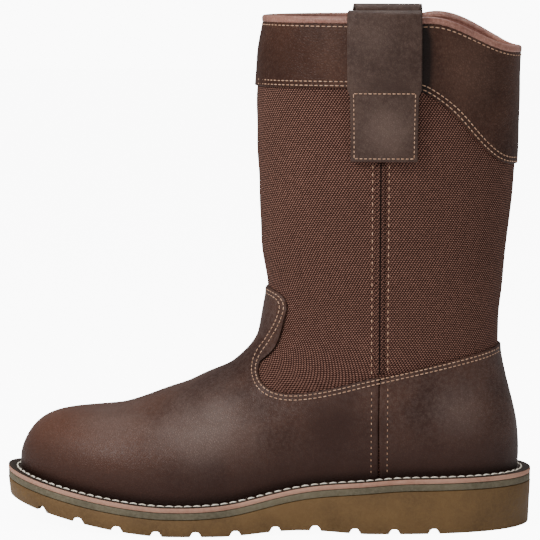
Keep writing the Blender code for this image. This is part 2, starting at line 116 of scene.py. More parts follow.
FOOT = (
    FootRow(0.000, 0.000, 1.003, 0.000, 1.00, 1.00, 0.64, 0.605, 0.515, 0.365, 0.480, 0.57),
    FootRow(0.000, 0.085, 1.005, 0.080, 0.90, 1.00, 0.66, 0.625, 0.530, 0.378, 0.500, 0.59),
    FootRow(0.017, 0.190, 1.004, 0.165, 0.72, 1.00, 0.65, 0.625, 0.525, 0.386, 0.505, 0.59),
    FootRow(0.049, 0.270, 1.001, 0.245, 0.52, 0.98, 0.56, 0.535, 0.485, 0.394, 0.503, 0.59),
    FootRow(0.105, 0.309, 0.996, 0.315, 0.36, 0.95, 0.45, 0.460, 0.450, 0.398, 0.500, 0.58),
    FootRow(0.193, 0.329, 0.989, 0.390, 0.25, 0.90, 0.47, 0.490, 0.425, 0.402, 0.492, 0.57),
    FootRow(0.290, 0.415, 0.981, 0.470, 0.15, 0.80, 0.46, 0.470, 0.405, 0.408, 0.478, 0.56),
    FootRow(0.386, 0.515, 0.973, 0.560, 0.08, 0.65, 0.41, 0.425, 0.403, 0.413, 0.468, 0.55),
    FootRow(0.445, 0.610, 0.967, 0.660, 0.03, 0.50, 0.38, 0.395, 0.403, 0.420, 0.464, 0.54),
    FootRow(0.479, 0.720, 0.967, 0.770, 0.00, 0.35, 0.37, 0.395, 0.412, 0.430, 0.468, 0.54),
    FootRow(0.494, 0.865, 0.969, 0.885, 0.00, 0.20, 0.385, 0.405, 0.425, 0.443, 0.480, 0.54),
    FootRow(0.500, 1.000, 0.974, 1.010, 0.00, 0.10, 0.415, 0.430, 0.445, 0.460, 0.490, 0.54),
)
ShaftRow = namedtuple("ShaftRow", "rise lean depth swing tip toe ball waist heel rear")
SHAFT = (
    ShaftRow(0.140, 0.000, 0.928, 0.04, 0.435, 0.440, 0.450, 0.460, 0.480, 0.510),
    ShaftRow(0.305, 0.006, 0.955, 0.00, 0.455, 0.460, 0.468, 0.475, 0.485, 0.500),
    ShaftRow(0.505, 0.008, 0.978, 0.00, 0.475, 0.478, 0.484, 0.488, 0.492, 0.500),
    ShaftRow(0.710, 0.009, 0.984, 0.00, 0.488, 0.490, 0.494, 0.496, 0.498, 0.500),
    ShaftRow(0.875, 0.017, 0.974, 0.00, 0.494, 0.496, 0.500, 0.500, 0.500, 0.500),
    ShaftRow(1.000, 0.030, 0.957, 0.00, 0.490, 0.492, 0.496, 0.496, 0.496, 0.490),
)
LEATHER_LINE = (
    (0.440, 0.990), (0.508, 0.980), (0.538, 0.930), (0.540, 0.850), (0.520, 0.735), (0.492, 0.615),
    (0.484, 0.530), (0.503, 0.470), (0.556, 0.446), (0.640, 0.486), (0.720, 0.543), (0.850, 0.617),
    (0.960, 0.675), (1.060, 0.720),
)
COLLAR_LINE = (
    (0.400, 0.735), (0.600, 0.742), (0.760, 0.740), (0.815, 0.718), (0.860, 0.655), (0.900, 0.572),
    (0.940, 0.495), (0.985, 0.455), (1.060, 0.447),
)
print("sections in the form:", len(FOOT) + len(SHAFT))


# %% Functions of the form
def along(share):
    """X at a share of the foot's length behind the toe."""
    return (share - HEEL_REST) * LAST_LENGTH


def ramp(x, start, end):
    """Share of the way from one station to another, 0 before them and 1 after."""
    return np.clip((x - along(start)) / (along(end) - along(start)), 0.0, 1.0)


def ease(share):
    """A share with a soft start and a soft end."""
    return share * share * (3.0 - 2.0 * share)


def tread_height(x):
    """Height of the tread, with its toe spring and slight arch."""
    spring = np.clip((along(SPRING_END) - x) / (along(SPRING_END) - along(0.0)), 0.0, None)
    arch = np.sin(pi * ramp(x, ARCH_FRONT, ARCH_BACK)) ** 2
    return TOE_SPRING * spring ** SPRING_POWER + ARCH_RISE * arch


def sole_top(x):
    """Height of the welt's upper face."""
    wedge = ease(ramp(x, WEDGE_FRONT, WEDGE_BACK))
    return tread_height(x) + BALL_SOLE + (HEEL_SOLE - BALL_SOLE) * wedge


ANKLE_HEIGHT = float(sole_top(along(1.0))) + INSTEP_RISE


def rim_height(x, y=0.0):
    """Height of the top edge, which dips to the back, later on the inner side."""
    dip = ramp(x, RIM_DIP_START, 1.0)
    inner = np.clip(y / (SHAFT_WIDTH / 4.0), 0.0, 1.0) * INNER_RIM * np.sin(pi * dip)
    return ANKLE_HEIGHT + SHAFT_RISE - RIM_DIP * ease(dip) + inner


def spline(knots, values, at):
    """Natural cubic curve through rows of values, read at each number in at."""
    knots, values = np.asarray(knots, float), np.asarray(values, float)
    step = np.diff(knots)
    slope = np.diff(values, axis=0) / step[:, None]
    system = np.diag(2.0 * (step[:-1] + step[1:])) + np.diag(step[1:-1], 1) + np.diag(step[1:-1], -1)
    bend = np.zeros_like(values)
    bend[1:-1] = np.linalg.solve(system, 6.0 * np.diff(slope, axis=0))
    cell = np.clip(np.searchsorted(knots, at, side="right") - 1, 0, len(step) - 1)
    width = step[cell][:, None]
    after = (at - knots[cell])[:, None] / width
    before = 1.0 - after
    straight = before * values[cell] + after * values[cell + 1]
    curve = (before ** 3 - before) * bend[cell] + (after ** 3 - after) * bend[cell + 1]
    return straight + curve * width ** 2 / 6.0


def section_table():
    """Both tables in metres."""
    toe_z, heel_z = float(sole_top(along(0.0))), float(sole_top(along(1.0)))
    table = []
    for row in FOOT:
        ends = [along(row.front), toe_z + row.front_rise * INSTEP_RISE,
                along(row.back), heel_z + row.back_rise * INSTEP_RISE]
        table.append(ends + [row.settle, row.swing] + [share * BALL_WIDTH for share in row[6:]])
    for row in SHAFT:
        centre, half = along(ANKLE_CENTRE) + row.lean * SHAFT_DEPTH, row.depth * SHAFT_DEPTH / 2.0
        z = ANKLE_HEIGHT + row.rise * SHAFT_RISE
        table.append([centre - half, z, centre + half, z, 0.0, row.swing]
                     + [share * SHAFT_WIDTH for share in row[4:]])
    return np.array(table)


SECTIONS = section_table()
TOP_ROW = len(SECTIONS) - 1


def form_points(angle, row):
    """Points of the form: angle 0 at the front, a quarter turn at the outer side."""
    read = spline(np.arange(len(SECTIONS)), SECTIONS, row)
    front_x, front_z, back_x, back_z, settle, swing = read[:, :6].T
    share = (1.0 - np.cos(angle)) / 2.0
    x = front_x + (back_x - front_x) * share
    front_top = sole_top(front_x)
    chord = front_top + (sole_top(back_x) - front_top) * share
    z = front_z + (back_z - front_z) * share + settle * (sole_top(x) - chord)
    half_width = (read[:, 6:] * spline(STATIONS, np.eye(len(STATIONS)), share)).sum(axis=1)
    centre = swing * BALL_WIDTH * spline(STATIONS, np.array(SWING)[:, None], share)[:, 0]
    return np.stack((x, centre - np.sin(angle) * half_width, z), axis=1)


def outward(angle, row):
    """Unit normals of the form."""
    around = form_points(angle + NUDGE, row) - form_points(angle - NUDGE, row)
    upward = form_points(angle, row + NUDGE) - form_points(angle, np.maximum(row - NUDGE, 0.0))
    normal = np.cross(around, upward)
    return normal / np.linalg.norm(normal, axis=1)[:, None]


def place(x, z, side):
    """Angle and row of the form's point at x and z in side view, outer side 1, inner side -1."""
    x, z = np.ravel(x).astype(float), np.ravel(z).astype(float)
    low, high = np.zeros_like(x), np.full_like(x, TOP_ROW + 1.0)
    for _ in range(HALVINGS):
        row = (low + high) / 2.0
        angle = angle_at(x, row)
        below = form_points(angle, row)[:, 2] < z
        low, high = np.where(below, row, low), np.where(below, high, row)
    return side * angle_at(x, row), row


def angle_at(x, row):
    """Angle at x on a row, on the outer side."""
    read = spline(np.arange(len(SECTIONS)), SECTIONS, row)
    share = np.clip((x - read[:, 0]) / (read[:, 2] - read[:, 0]), 0.0, 1.0)
    return np.arccos(1.0 - 2.0 * share)


def row_at_height(angle, height_at):
    """Row at each angle where the form reaches a height that depends on x and y."""
    low, high = np.zeros_like(angle), np.full_like(angle, TOP_ROW + 1.0)
    for _ in range(HALVINGS):
        middle = (low + high) / 2.0
        points = form_points(angle, middle)
        below = points[:, 2] < height_at(points[:, 0], points[:, 1])
        low, high = np.where(below, middle, low), np.where(below, high, middle)
    return (low + high) / 2.0


def side_line(table, base, rise, steps=12):
    """Smooth line through a table of stations and rises, as x and z."""
    values = [(along(station), base + share * rise) for station, share in table]
    knots = np.arange(len(values))
    return spline(knots, values, np.linspace(0.0, knots[-1], steps * knots[-1] + 1))


def outline(angle, reach):
    """The foot's outline at the welt, seen from above and moved outwards by reach."""
    flat = np.zeros_like(angle)
    edge = (form_points(angle + NUDGE, flat) - form_points(angle - NUDGE, flat))[:, :2]
    normal = np.stack((edge[:, 1], -edge[:, 0]), axis=1)
    normal /= np.linalg.norm(normal, axis=1)[:, None]
    return form_points(angle, flat)[:, :2] + normal * reach


def run_along(points):
    """Length of a line up to each of its points."""
    return np.concatenate(((0.0,), np.cumsum(np.linalg.norm(np.diff(points, axis=0), axis=1))))


HEEL_TOP = float(sole_top(along(1.0)))
TONGUE_POINTS = 80
leather_top = side_line(LEATHER_LINE, HEEL_TOP, INSTEP_RISE)
behind = leather_top[TONGUE_POINTS:]
collar_foot = side_line(COLLAR_LINE, ANKLE_HEIGHT, SHAFT_RISE)
print("top of the form:", round(float(rim_height(along(0.6))), 4), "m")

# %% [markdown]
# ## Shader groups
# Leather, cloth and rubber share a few effects: a pebbled grain, a soft mottle, a weave. Each is
# a node group, built once, with named inputs, so every material sets its own scale and strength.
# The groups put out masks and heights only, and the shader itself stays in the material.


# %% A small helper for node trees
def socket_group(name, inputs, outputs):
    """An empty shader group. inputs are (name, kind, default) and outputs (name, kind)."""
    group = bpy.data.node_groups.new(name, "ShaderNodeTree")
    for label, kind, value in inputs:
        made = group.interface.new_socket(label, in_out="INPUT", socket_type="NodeSocket" + kind)
        if value is not None:
            made.default_value = value
    for label, kind in outputs:
        group.interface.new_socket(label, in_out="OUTPUT", socket_type="NodeSocket" + kind)
    return group, group.nodes.new("NodeGroupInput"), group.nodes.new("NodeGroupOutput")


class Nodes:
    """Adds nodes to a tree, each wired from values or from other nodes' sockets."""

    def __init__(self, tree):
        self.tree = tree

    def add(self, kind, inputs=(), **settings):
        node = self.tree.nodes.new(kind)
        for key, value in settings.items():
            setattr(node, key, value)
        for key, value in dict(inputs).items():
            self.feed(node.inputs[key], value)
        return node

    def feed(self, socket, value):
        """Wires a socket to another node's socket, or sets its value."""
        if isinstance(value, bpy.types.NodeSocket):
            self.tree.links.new(value, socket)
        else:
            socket.default_value = value

    def send(self, end, *values):
        """Wires a group's results, in order."""
        for socket, value in zip(end.inputs, values):
            self.tree.links.new(value, socket)

    def math(self, operation, *values, clamp=False):
        inputs = dict(enumerate(values))
        return self.add("ShaderNodeMath", inputs, operation=operation, use_clamp=clamp).outputs[0]

    def vector(self, operation, *values):
        return self.add("ShaderNodeVectorMath", dict(enumerate(values)), operation=operation)

    def axis(self, vector, which):
        return self.add("ShaderNodeSeparateXYZ", {0: vector}).outputs[which]

    def spot(self):
        return self.add("ShaderNodeTexCoord").outputs["Object"]

    def fade(self, value, low, high, out_low=0.0, out_high=1.0):
        inputs = {"Value": value, "From Min": low, "From Max": high, "To Min": out_low, "To Max": out_high}
        return self.add("ShaderNodeMapRange", inputs, interpolation_type="SMOOTHSTEP").outputs[0]

    def noise(self, vector, scale, detail=3.0, rough=0.55):
        inputs = {"Vector": vector, "Scale": scale, "Detail": detail, "Roughness": rough}
        return self.add("ShaderNodeTexNoise", inputs).outputs[0]

    def mix(self, factor, first, second):
        node = self.add("ShaderNodeMix", {0: factor}, data_type="RGBA")
        for socket, value in ((node.inputs[6], first), (node.inputs[7], second)):
            self.feed(socket, value if isinstance(value, bpy.types.NodeSocket) else (*value, 1.0))
        return node.outputs[2]


# %% Grain, mottle, weave and glow groups
def grain_group():
    """Pebbled leather grain: cells of skin with fine pores over them."""
    group, start, end = socket_group("leather_grain", [("Vector", "Vector", None), ("Cells", "Float", 700.0)],
                                     [("Height", "Float"), ("Creases", "Float")])
    n = Nodes(group)
    drift = n.add("ShaderNodeTexNoise", {"Vector": start.outputs[0], "Scale": 180.0, "Detail": 2.0})
    shift = n.vector("MULTIPLY", drift.outputs["Color"], (0.0016, 0.0016, 0.0016))
    moved = n.vector("ADD", start.outputs[0], shift.outputs[0])
    cells = n.add("ShaderNodeTexVoronoi", {"Vector": moved.outputs[0], "Scale": start.outputs[1]},
                  feature="DISTANCE_TO_EDGE")
    pebble = n.fade(cells.outputs["Distance"], 0.0, 0.35)
    pores = n.noise(start.outputs[0], 2600.0, 2.0)
    height = n.math("ADD", pebble, n.math("MULTIPLY", pores, 0.5))
    n.send(end, height, n.math("SUBTRACT", 1.0, pebble))
    return group


def mottle_group():
    """Soft uneven tone of oiled leather and rubber, from wide clouds to small flecks."""
    group, start, end = socket_group("mottle", [("Vector", "Vector", None), ("Size", "Float", 1.0)],
                                     [("Clouds", "Float"), ("Flecks", "Float")])
    n = Nodes(group)
    inputs = {0: start.outputs[0], "Scale": start.outputs[1]}
    scaled = n.add("ShaderNodeVectorMath", inputs, operation="SCALE").outputs[0]
    clouds = n.fade(n.noise(scaled, 26.0, 4.0), 0.34, 0.66)
    flecks = n.fade(n.noise(scaled, 420.0, 3.0, 0.7), 0.35, 0.68)
    n.send(end, clouds, flecks)
    return group


def weave_group():
    """Coarse cloth: rounded threads in rows, each row stepped along, which draws diagonals."""
    group, start, end = socket_group("weave", [("UV", "Vector", None), ("Thread", "Float", 0.00175),
                                               ("Row", "Float", 0.00105), ("Step", "Float", -0.39)],
                                     [("Height", "Float"), ("Thread", "Float"), ("Tone", "Float")])
    n = Nodes(group)
    drift = n.noise(start.outputs[0], 60.0, 2.0)
    axes = n.add("ShaderNodeSeparateXYZ", {0: start.outputs[0]})
    v = n.math("DIVIDE", axes.outputs[1], start.outputs[2])
    row = n.math("FLOOR", v)
    slide = n.math("ADD", n.math("MULTIPLY", row, start.outputs[3]), n.math("MULTIPLY", drift, 0.14))
    u = n.math("ADD", n.math("DIVIDE", axes.outputs[0], start.outputs[1]), slide)
    across = n.math("ABSOLUTE", n.math("SUBTRACT", n.math("FRACT", u), 0.5))
    up = n.math("ABSOLUTE", n.math("SUBTRACT", n.math("FRACT", v), 0.5))
    oval = n.math("ADD", n.math("POWER", n.math("MULTIPLY", across, 2.1), 2.0),
                  n.math("POWER", n.math("MULTIPLY", up, 2.0), 2.0))
    height = n.math("SQRT", n.math("SUBTRACT", 1.0, oval, clamp=True))
    cell = n.add("ShaderNodeCombineXYZ", {0: n.math("FLOOR", u), 1: row, 2: 0.0})
    tone = n.add("ShaderNodeTexWhiteNoise", {0: cell.outputs[0]}, noise_dimensions="2D").outputs[0]
    n.send(end, height, n.fade(height, 0.45, 1.0), tone)
    return group


def bloom_group():
    """A soft-edged patch round a point, such as where oiled leather has paled over a bulge."""
    group, start, end = socket_group("bloom", [("Vector", "Vector", None),
                                               ("Centre", "Vector", (0.0, 0.0, 0.0)),
                                               ("Stretch", "Vector", (1.0, 1.0, 1.0)),
                                               ("Radius", "Float", 0.03)], [("Mask", "Float")])
    n = Nodes(group)
    away = n.vector("SUBTRACT", start.outputs[0], start.outputs[1])
    shaped = n.vector("MULTIPLY", away.outputs[0], start.outputs[2])
    size = n.vector("LENGTH", shaped.outputs[0]).outputs["Value"]
    edge = n.math("DIVIDE", size, start.outputs[3])
    wobble = n.math("MULTIPLY", n.math("SUBTRACT", n.noise(start.outputs[0], 45.0, 3.0), 0.5), 0.7)
    n.send(end, n.fade(n.math("ADD", edge, wobble), 1.0, 0.0))
    return group


GRAIN, MOTTLE, WEAVE, BLOOM = grain_group(), mottle_group(), weave_group(), bloom_group()
print("shader groups:", [group.name for group in (GRAIN, MOTTLE, WEAVE, BLOOM)])

# %% [markdown]
# ## Materials
# Oiled leather has darker clouds, and pales and cools where it is bent. Painted shade darkens
# it at the instep and above the outer strap's box, a painted shadow lies beside that strap, and
# the collar is darker at its front. The foot's leather is redder at the toe, with painted shade
# deepening towards the welt and a dark line along it. The shaft cloth has pale tops on its
# threads and dark hollows between. Threads, cut edges and rubber get the same care.


# %% Material maker
TWIST_DEPTH = 0.0002


def new_material(name, **sockets):
    """A material, its node helper and its Principled shader."""
    made = bpy.data.materials.new(name)
    made.use_nodes = True
    shader = made.node_tree.nodes["Principled BSDF"]
    for label, value in sockets.items():
        shader.inputs[label.replace("_", " ")].default_value = value
    return made, Nodes(made.node_tree), shader


def use(n, group, **inputs):
    """Places a group in a material."""
    return n.add("ShaderNodeGroup", inputs, node_tree=group)


def toned(colour, share):
    """A colour made darker or paler."""
    return tuple(share * c for c in colour)


def bump(n, shader, height, depth):
    """Sends a height to the shader's normal. depth is in metres for a height of one."""
    node = n.add("ShaderNodeBump", {"Height": height, "Strength": 1.0, "Distance": depth})
    n.tree.links.new(node.outputs[0], shader.inputs["Normal"])


def finish(n, shader, colour, rough):
    """Wires colour and roughness to the shader."""
    n.tree.links.new(colour, shader.inputs["Base Color"])
    n.tree.links.new(rough, shader.inputs["Roughness"])


def patched(n, spot, patches, colour, tint):
    """Tints soft patches, each with centre, stretch, radius and strength. Gives the masks too."""
    masks = []
    for centre, stretch, radius, strength in patches:
        patch = use(n, BLOOM, Vector=spot, Centre=centre, Stretch=stretch, Radius=radius).outputs[0]
        masks.append(n.math("MULTIPLY", patch, strength))
        colour = n.mix(masks[-1], colour, tint)
    return colour, masks


def leather(name, base, pale, deep, cells, depth, shine, blooms=(), toe=None, foot=False, oil=(),
            shade=(), gleam=0.18):
    """Leather with grain, clouds, paled patches, darkened patches, painted shadows and, on the foot, painted
    shade towards the welt and a dark line along it.
    """
    made, n, shader = new_material(name, Specular_IOR_Level=gleam)
    spot = n.spot()
    grain = use(n, GRAIN, Vector=spot, Cells=cells)
    cloud = use(n, MOTTLE, Vector=spot, Size=1.0)
    colour = n.mix(cloud.outputs[0], base, deep)
    colour = n.mix(n.math("MULTIPLY", cloud.outputs[1], 0.22), colour, pale)
    if toe:
        colour = n.mix(n.fade(n.axis(spot, 0), along(0.42), along(0.02), 0.0, 0.52), colour, toe)
    # Darkened patches, some of them painted shade, then nearly black painted shadows.
    for patches, tint in ((oil, deep), (shade, toned(deep, 0.2))):
        colour = patched(n, spot, patches, colour, tint)[0]
    colour, masks = patched(n, spot, blooms, colour, pale)
    worn = 0.0
    for mask in masks:
        worn = n.math("ADD", worn, mask)
    if foot:
        # Painted shade over the lowest 42 mm towards the welt, then a dark line along the welt joint.
        up = n.axis(n.add("ShaderNodeUVMap", uv_map="surface").outputs[0], 1)
        colour = n.mix(n.fade(up, 0.042, 0.004, 0.0, 0.85), colour, deep)
        colour = n.mix(n.fade(up, 0.007, 0.0005, 0.0, 0.85), colour, toned(deep, 0.3))
    colour = n.mix(n.math("MULTIPLY", grain.outputs[1], 0.35), colour, toned(deep, 0.45))
    rough = n.fade(cloud.outputs[0], 0.0, 1.0, shine, shine + 0.10)
    finish(n, shader, colour, n.math("ADD", rough, n.math("MULTIPLY", worn, 0.08)))
    bump(n, shader, grain.outputs[0], depth)
    return made


def cloth(name, thread, hollow, depth, thread_size, row_size, join=False):
    """Woven cloth on the UV map, with pale thread tops over dark hollows."""
    made, n, shader = new_material(name, Specular_IOR_Level=0.15)
    uv = n.add("ShaderNodeUVMap", uv_map="surface").outputs[0]
    spot = n.spot()
    woven = use(n, WEAVE, UV=uv, Thread=thread_size, Row=row_size)
    cloud = use(n, MOTTLE, Vector=spot, Size=0.8)
    top = n.mix(woven.outputs[2], toned(thread, 0.84), toned(thread, 1.16))
    top = n.mix(n.math("MULTIPLY", cloud.outputs[0], 0.25), top, toned(thread, 0.7))
    colour = n.mix(woven.outputs[1], hollow, top)
    if join:
        across = n.math("ABSOLUTE", n.axis(uv, 0))
        colour = n.mix(n.fade(across, 0.0007, 0.0003, 0.0, 0.95), colour, toned(hollow, 0.6))
    finish(n, shader, colour, n.fade(woven.outputs[1], 0.0, 1.0, 0.93, 0.77))
    bump(n, shader, woven.outputs[0], depth)
    return made


def rubber(name, base, deep, pale, rough, depth):
    """Moulded rubber: cloudy, lightly pitted, with dusty flecks."""
    made, n, shader = new_material(name, Specular_IOR_Level=0.25)
    spot = n.spot()
    cloud = use(n, MOTTLE, Vector=spot, Size=1.0)
    colour = n.mix(cloud.outputs[0], base, deep)
    colour = n.mix(n.math("MULTIPLY", cloud.outputs[1], 0.28), colour, pale)
    finish(n, shader, colour, n.fade(cloud.outputs[1], 0.0, 1.0, rough - 0.06, rough + 0.08))
    pits = n.noise(spot, 1500.0, 3.0, 0.6)
    bump(n, shader, n.math("ADD", pits, n.math("MULTIPLY", cloud.outputs[1], 0.6)), depth)
    return made


def thread(name, base, deep, twist):
    """Sewing thread with a fine twist along it, which stands up by TWIST_DEPTH."""
    made, n, shader = new_material(name)
    spot = n.spot()
    fuzz = n.noise(spot, twist, 2.0)
    finish(n, shader, n.mix(n.fade(fuzz, 0.35, 0.65), deep, base), n.fade(fuzz, 0.3, 0.7, 0.5, 0.75))
    bump(n, shader, fuzz, TWIST_DEPTH)
    return made


# %% The boot's own finishes
OILED = leather("oiled_leather_fine", (0.066, 0.028, 0.018), (0.168, 0.118, 0.100), (0.031, 0.0108, 0.0068),
                850.0, 0.00011, 0.40, toe=(0.168, 0.070, 0.042), foot=True,
                blooms=(((-0.155, -0.050, 0.062), (1.0, 0.5, 1.2), 0.044, 0.66),
                        ((-0.212, -0.040, 0.066), (1.0, 0.5, 1.3), 0.036, 0.46),
                        ((-0.006, -0.040, 0.072), (1.0, 0.5, 1.0), 0.026, 0.36),
                        ((-0.155, 0.050, 0.060), (1.0, 0.5, 1.2), 0.036, 0.45)),
                # Painted shade on the instep, on both sides.
                oil=(((-0.082, -0.045, 0.066), (1.0, 0.5, 1.3), 0.040, 0.85),
                     ((-0.082, 0.045, 0.066), (1.0, 0.5, 1.3), 0.040, 0.85)))
GRAINED = leather("grained_leather_fine", (0.056, 0.0215, 0.0125), (0.135, 0.075, 0.054),
                  (0.028, 0.0088, 0.0045), 620.0, 0.00012, 0.42, gleam=0.15,
                  blooms=(((0.000, -0.048, 0.272), (1.0, 0.6, 0.8), 0.032, 0.30),
                          ((-0.084, -0.045, 0.282), (1.0, 0.6, 0.7), 0.014, 0.16)),
                  # A darker patch at the front of the collar.
                  oil=(((-0.104, -0.040, 0.274), (1.0, 0.5, 1.0), 0.036, 0.60),),
                  # Painted shadow of the outer strap on the collar, along the strap's back edge.
                  shade=(((-0.0290, -0.050, 0.276), (1.0, 0.05, 0.13), 0.0066, 2.0),))
STRAP = leather("strap_leather_fine", (0.068, 0.038, 0.028), (0.150, 0.100, 0.080), (0.036, 0.0175, 0.0125),
                900.0, 0.00009, 0.42,
                blooms=(((-0.050, -0.056, 0.238), (1.0, 1.0, 1.0), 0.022, 0.45),
                        ((-0.056, -0.060, 0.290), (1.0, 1.0, 1.0), 0.018, 0.22)),
                # Painted shade just above the sewn box, where the strap bulges out.
                oil=(((-0.048, -0.056, 0.263), (0.55, 1.0, 1.5), 0.012, 0.85),))
BINDING = leather("binding_leather_fine", (0.330, 0.145, 0.105), (0.640, 0.380, 0.300), (0.170, 0.062, 0.043),
                  600.0, 0.00009, 0.36, gleam=0.35)
LINING = leather("lining_leather", (0.230, 0.085, 0.062), (0.380, 0.180, 0.140), (0.130, 0.043, 0.030),
                 650.0, 0.00008, 0.55)
HOLLOW = (0.0125, 0.0028, 0.0015)
CLOTH = cloth("woven_cloth_fine", (0.236, 0.113, 0.082), HOLLOW, 0.00060, 0.00172, 0.00107)
SEAM_CLOTH = cloth("seam_cloth_fine", (0.195, 0.094, 0.068), HOLLOW, 0.00050, 0.00160, 0.00107, join=True)
FOOTBED = cloth("footbed_cloth", (0.300, 0.210, 0.140), (0.120, 0.080, 0.050), 0.00020, 0.0012, 0.0008)
WELT_TOP = leather("welt_top", (0.036, 0.020, 0.013), (0.080, 0.050, 0.036), (0.020, 0.0105, 0.007),
                   700.0, 0.00010, 0.5)
WELT_EDGE = rubber("welt_edge", (0.400, 0.215, 0.150), (0.290, 0.145, 0.098), (0.500, 0.310, 0.225),
                   0.62, 0.00012)
MIDSOLE = rubber("midsole_rubber_fine", (0.112, 0.092, 0.055), (0.068, 0.056, 0.033), (0.205, 0.182, 0.132),
                 0.66, 0.00016)
OUTSOLE = rubber("outsole_rubber_fine", (0.120, 0.065, 0.022), (0.084, 0.044, 0.014), (0.172, 0.105, 0.044),
                 0.58, 0.00014)
THREAD = thread("tan_thread", (0.600, 0.365, 0.235), (0.340, 0.180, 0.105), 900.0)
WELT_THREAD = thread("welt_thread", (0.960, 0.900, 0.780), (0.780, 0.680, 0.540), 700.0)
HOLE = thread("needle_hole", (0.012, 0.005, 0.003), (0.007, 0.003, 0.002), 500.0)
print("materials made:", len([m for m in bpy.data.materials if m.use_nodes]))

# %% [markdown]
# ## Sheets of leather and cloth
# A cut panel is a thin closed shell: a grid of points on the form, lifted to its outer face, the
# same grid at its inner face, and a rim between them. The outer face sinks in the last half
# millimetre, so that the cut edge looks rounded. Creases are soft troughs and ridges, placed in
# side view and added to the lift.

# %% Creases, in stations along the foot and rises of the instep
Crease = namedtuple("Crease", "side x0 z0 x1 z1 depth width")
CREASES = (
    Crease(0, 0.310, 0.480, 0.410, 0.270, -0.0006, 0.0065),
    Crease(0, 0.355, 0.540, 0.465, 0.300, 0.0006, 0.0070),
    Crease(0, 0.410, 0.600, 0.490, 0.400, -0.0006, 0.0060),
    Crease(0, 0.475, 0.740, 0.560, 0.560, -0.0007, 0.0060),
    Crease(0, 0.480, 0.900, 0.580, 0.800, 0.0006, 0.0070),
    Crease(1, 0.900, 0.880, 0.965, 0.820, -0.0005, 0.0060),
    Crease(1, 0.885, 1.040, 0.955, 0.960, 0.0005, 0.0080),
    Crease(-1, 0.900, 0.860, 0.965, 0.800, -0.0005, 0.0060),
    Crease(1, 0.520, 1.250, 0.640, 1.150, -0.0009, 0.0100),
    Crease(1, 0.800, 1.500, 0.930, 1.420, -0.0008, 0.0110),
    Crease(-1, 0.540, 1.300, 0.660, 1.200, -0.0009, 0.0100),
    Crease(-1, 0.820, 1.600, 0.930, 1.500, -0.0008, 0.0110),
    Crease(0, 0.600, 0.300, 0.700, 0.120, -0.0004, 0.0080),
)
RIPPLE_DEPTH = 0.00018
RIPPLE_FROM = 0.13


def crease_lift(points):
    """Sum of the creases at points of the form."""
    lift = np.zeros(len(points))
    flat = points[:, (0, 2)]
    for crease in CREASES:
        start = np.array((along(crease.x0), HEEL_TOP + crease.z0 * INSTEP_RISE))
        end = np.array((along(crease.x1), HEEL_TOP + crease.z1 * INSTEP_RISE))
        span = end - start
        share = np.clip(((flat - start) @ span) / (span @ span), 0.0, 1.0)
        away = np.linalg.norm(flat - (start + share[:, None] * span), axis=1)
        taper = np.sin(pi * np.clip(share * 0.9 + 0.05, 0.0, 1.0)) ** 0.6
        soft = crease.depth * np.exp(-(away / crease.width) ** 2) * taper
        if crease.side:
            soft = soft * (np.sign(-points[:, 1]) == crease.side)
        lift += soft
    ripple = np.sin(points[:, 2] * 210.0 + points[:, 0] * 60.0) * np.sin(points[:, 0] * 95.0 + 1.0)
    return lift + RIPPLE_DEPTH * ripple * (points[:, 2] > RIPPLE_FROM)


def on_form(angle, row, lift, creased=True):
    """Points on the form at a lift, with the creases."""
    shape = np.shape(angle)
    angle, row, lift = (np.ravel(a).astype(float) for a in np.broadcast_arrays(angle, row, lift))
    points = form_points(angle, row)
    if creased:
        lift = lift + crease_lift(points) * np.clip(row, 0.0, 1.0)
    points = points + outward(angle, row) * lift[:, None]
    floor = sole_top(points[:, 0]) + GAP
    points[:, 2] = np.where(row <= 0.001, floor, points[:, 2])
    return points.reshape(*shape, 3)


def new_object(name, data):
    """An object linked to the scene."""
    made = bpy.data.objects.new(name, data)
    bpy.context.scene.collection.objects.link(made)
    return made


def grid_object(name, sheets, materials, closed_u, closed_v=False, uv=None, slots=None):
    """Mesh over a grid of points (v, u, 3). uv gives each point's place on the flat pattern."""
    nv, nu = sheets.shape[:2]
    count_u, count_v = (nu if closed_u else nu - 1), (nv if closed_v else nv - 1)
    v, u = np.meshgrid(np.arange(count_v), np.arange(count_u), indexing="ij")
    v, u = v.ravel(), u.ravel()
    v1, u1 = (v + 1) % nv, (u + 1) % nu
    faces = np.stack((v * nu + u, v * nu + u1, v1 * nu + u1, v1 * nu + u), axis=1)
    mesh = bpy.data.meshes.new(name)
    mesh.from_pydata(sheets.reshape(-1, 3).tolist(), [], faces.tolist())
    for made in materials:
        mesh.materials.append(made)
    if slots is not None:
        mesh.polygons.foreach_set("material_index", np.asarray(slots)[v].astype(np.int32))
    if uv is not None:
        flat = uv.reshape(-1, 2)[faces.ravel()].reshape(-1, 4, 2).copy()
        if closed_u:
            wrap = u1 == 0
            length = uv[:, -1, 0] + uv[:, 1, 0] - uv[:, 0, 0]
            flat[wrap, 1, 0] = length[v[wrap]]
            flat[wrap, 2, 0] = length[v1[wrap]]
        layer = mesh.uv_layers.new(name="surface")
        layer.data.foreach_set("uv", flat.ravel())
    mesh.shade_smooth()
    return new_object(name, mesh)


def orient(piece, caps=False):
    """Joins doubled points, closes the ends if asked, and turns the faces outwards."""
    work = bmesh.new()
    work.from_mesh(piece.data)
    bmesh.ops.remove_doubles(work, verts=work.verts, dist=0.0000005)
    if caps:
        bmesh.ops.holes_fill(work, edges=[e for e in work.edges if e.is_boundary])
    bmesh.ops.recalc_face_normals(work, faces=work.faces)
    work.to_mesh(piece.data)
    work.free()
    return piece


def finish_piece(piece, node):
    """Hangs a piece on the root, hides the solid that it stands for and prints its face count."""
    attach(piece, "root")
    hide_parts(node)
    print(piece.name, len(piece.data.polygons), "faces")


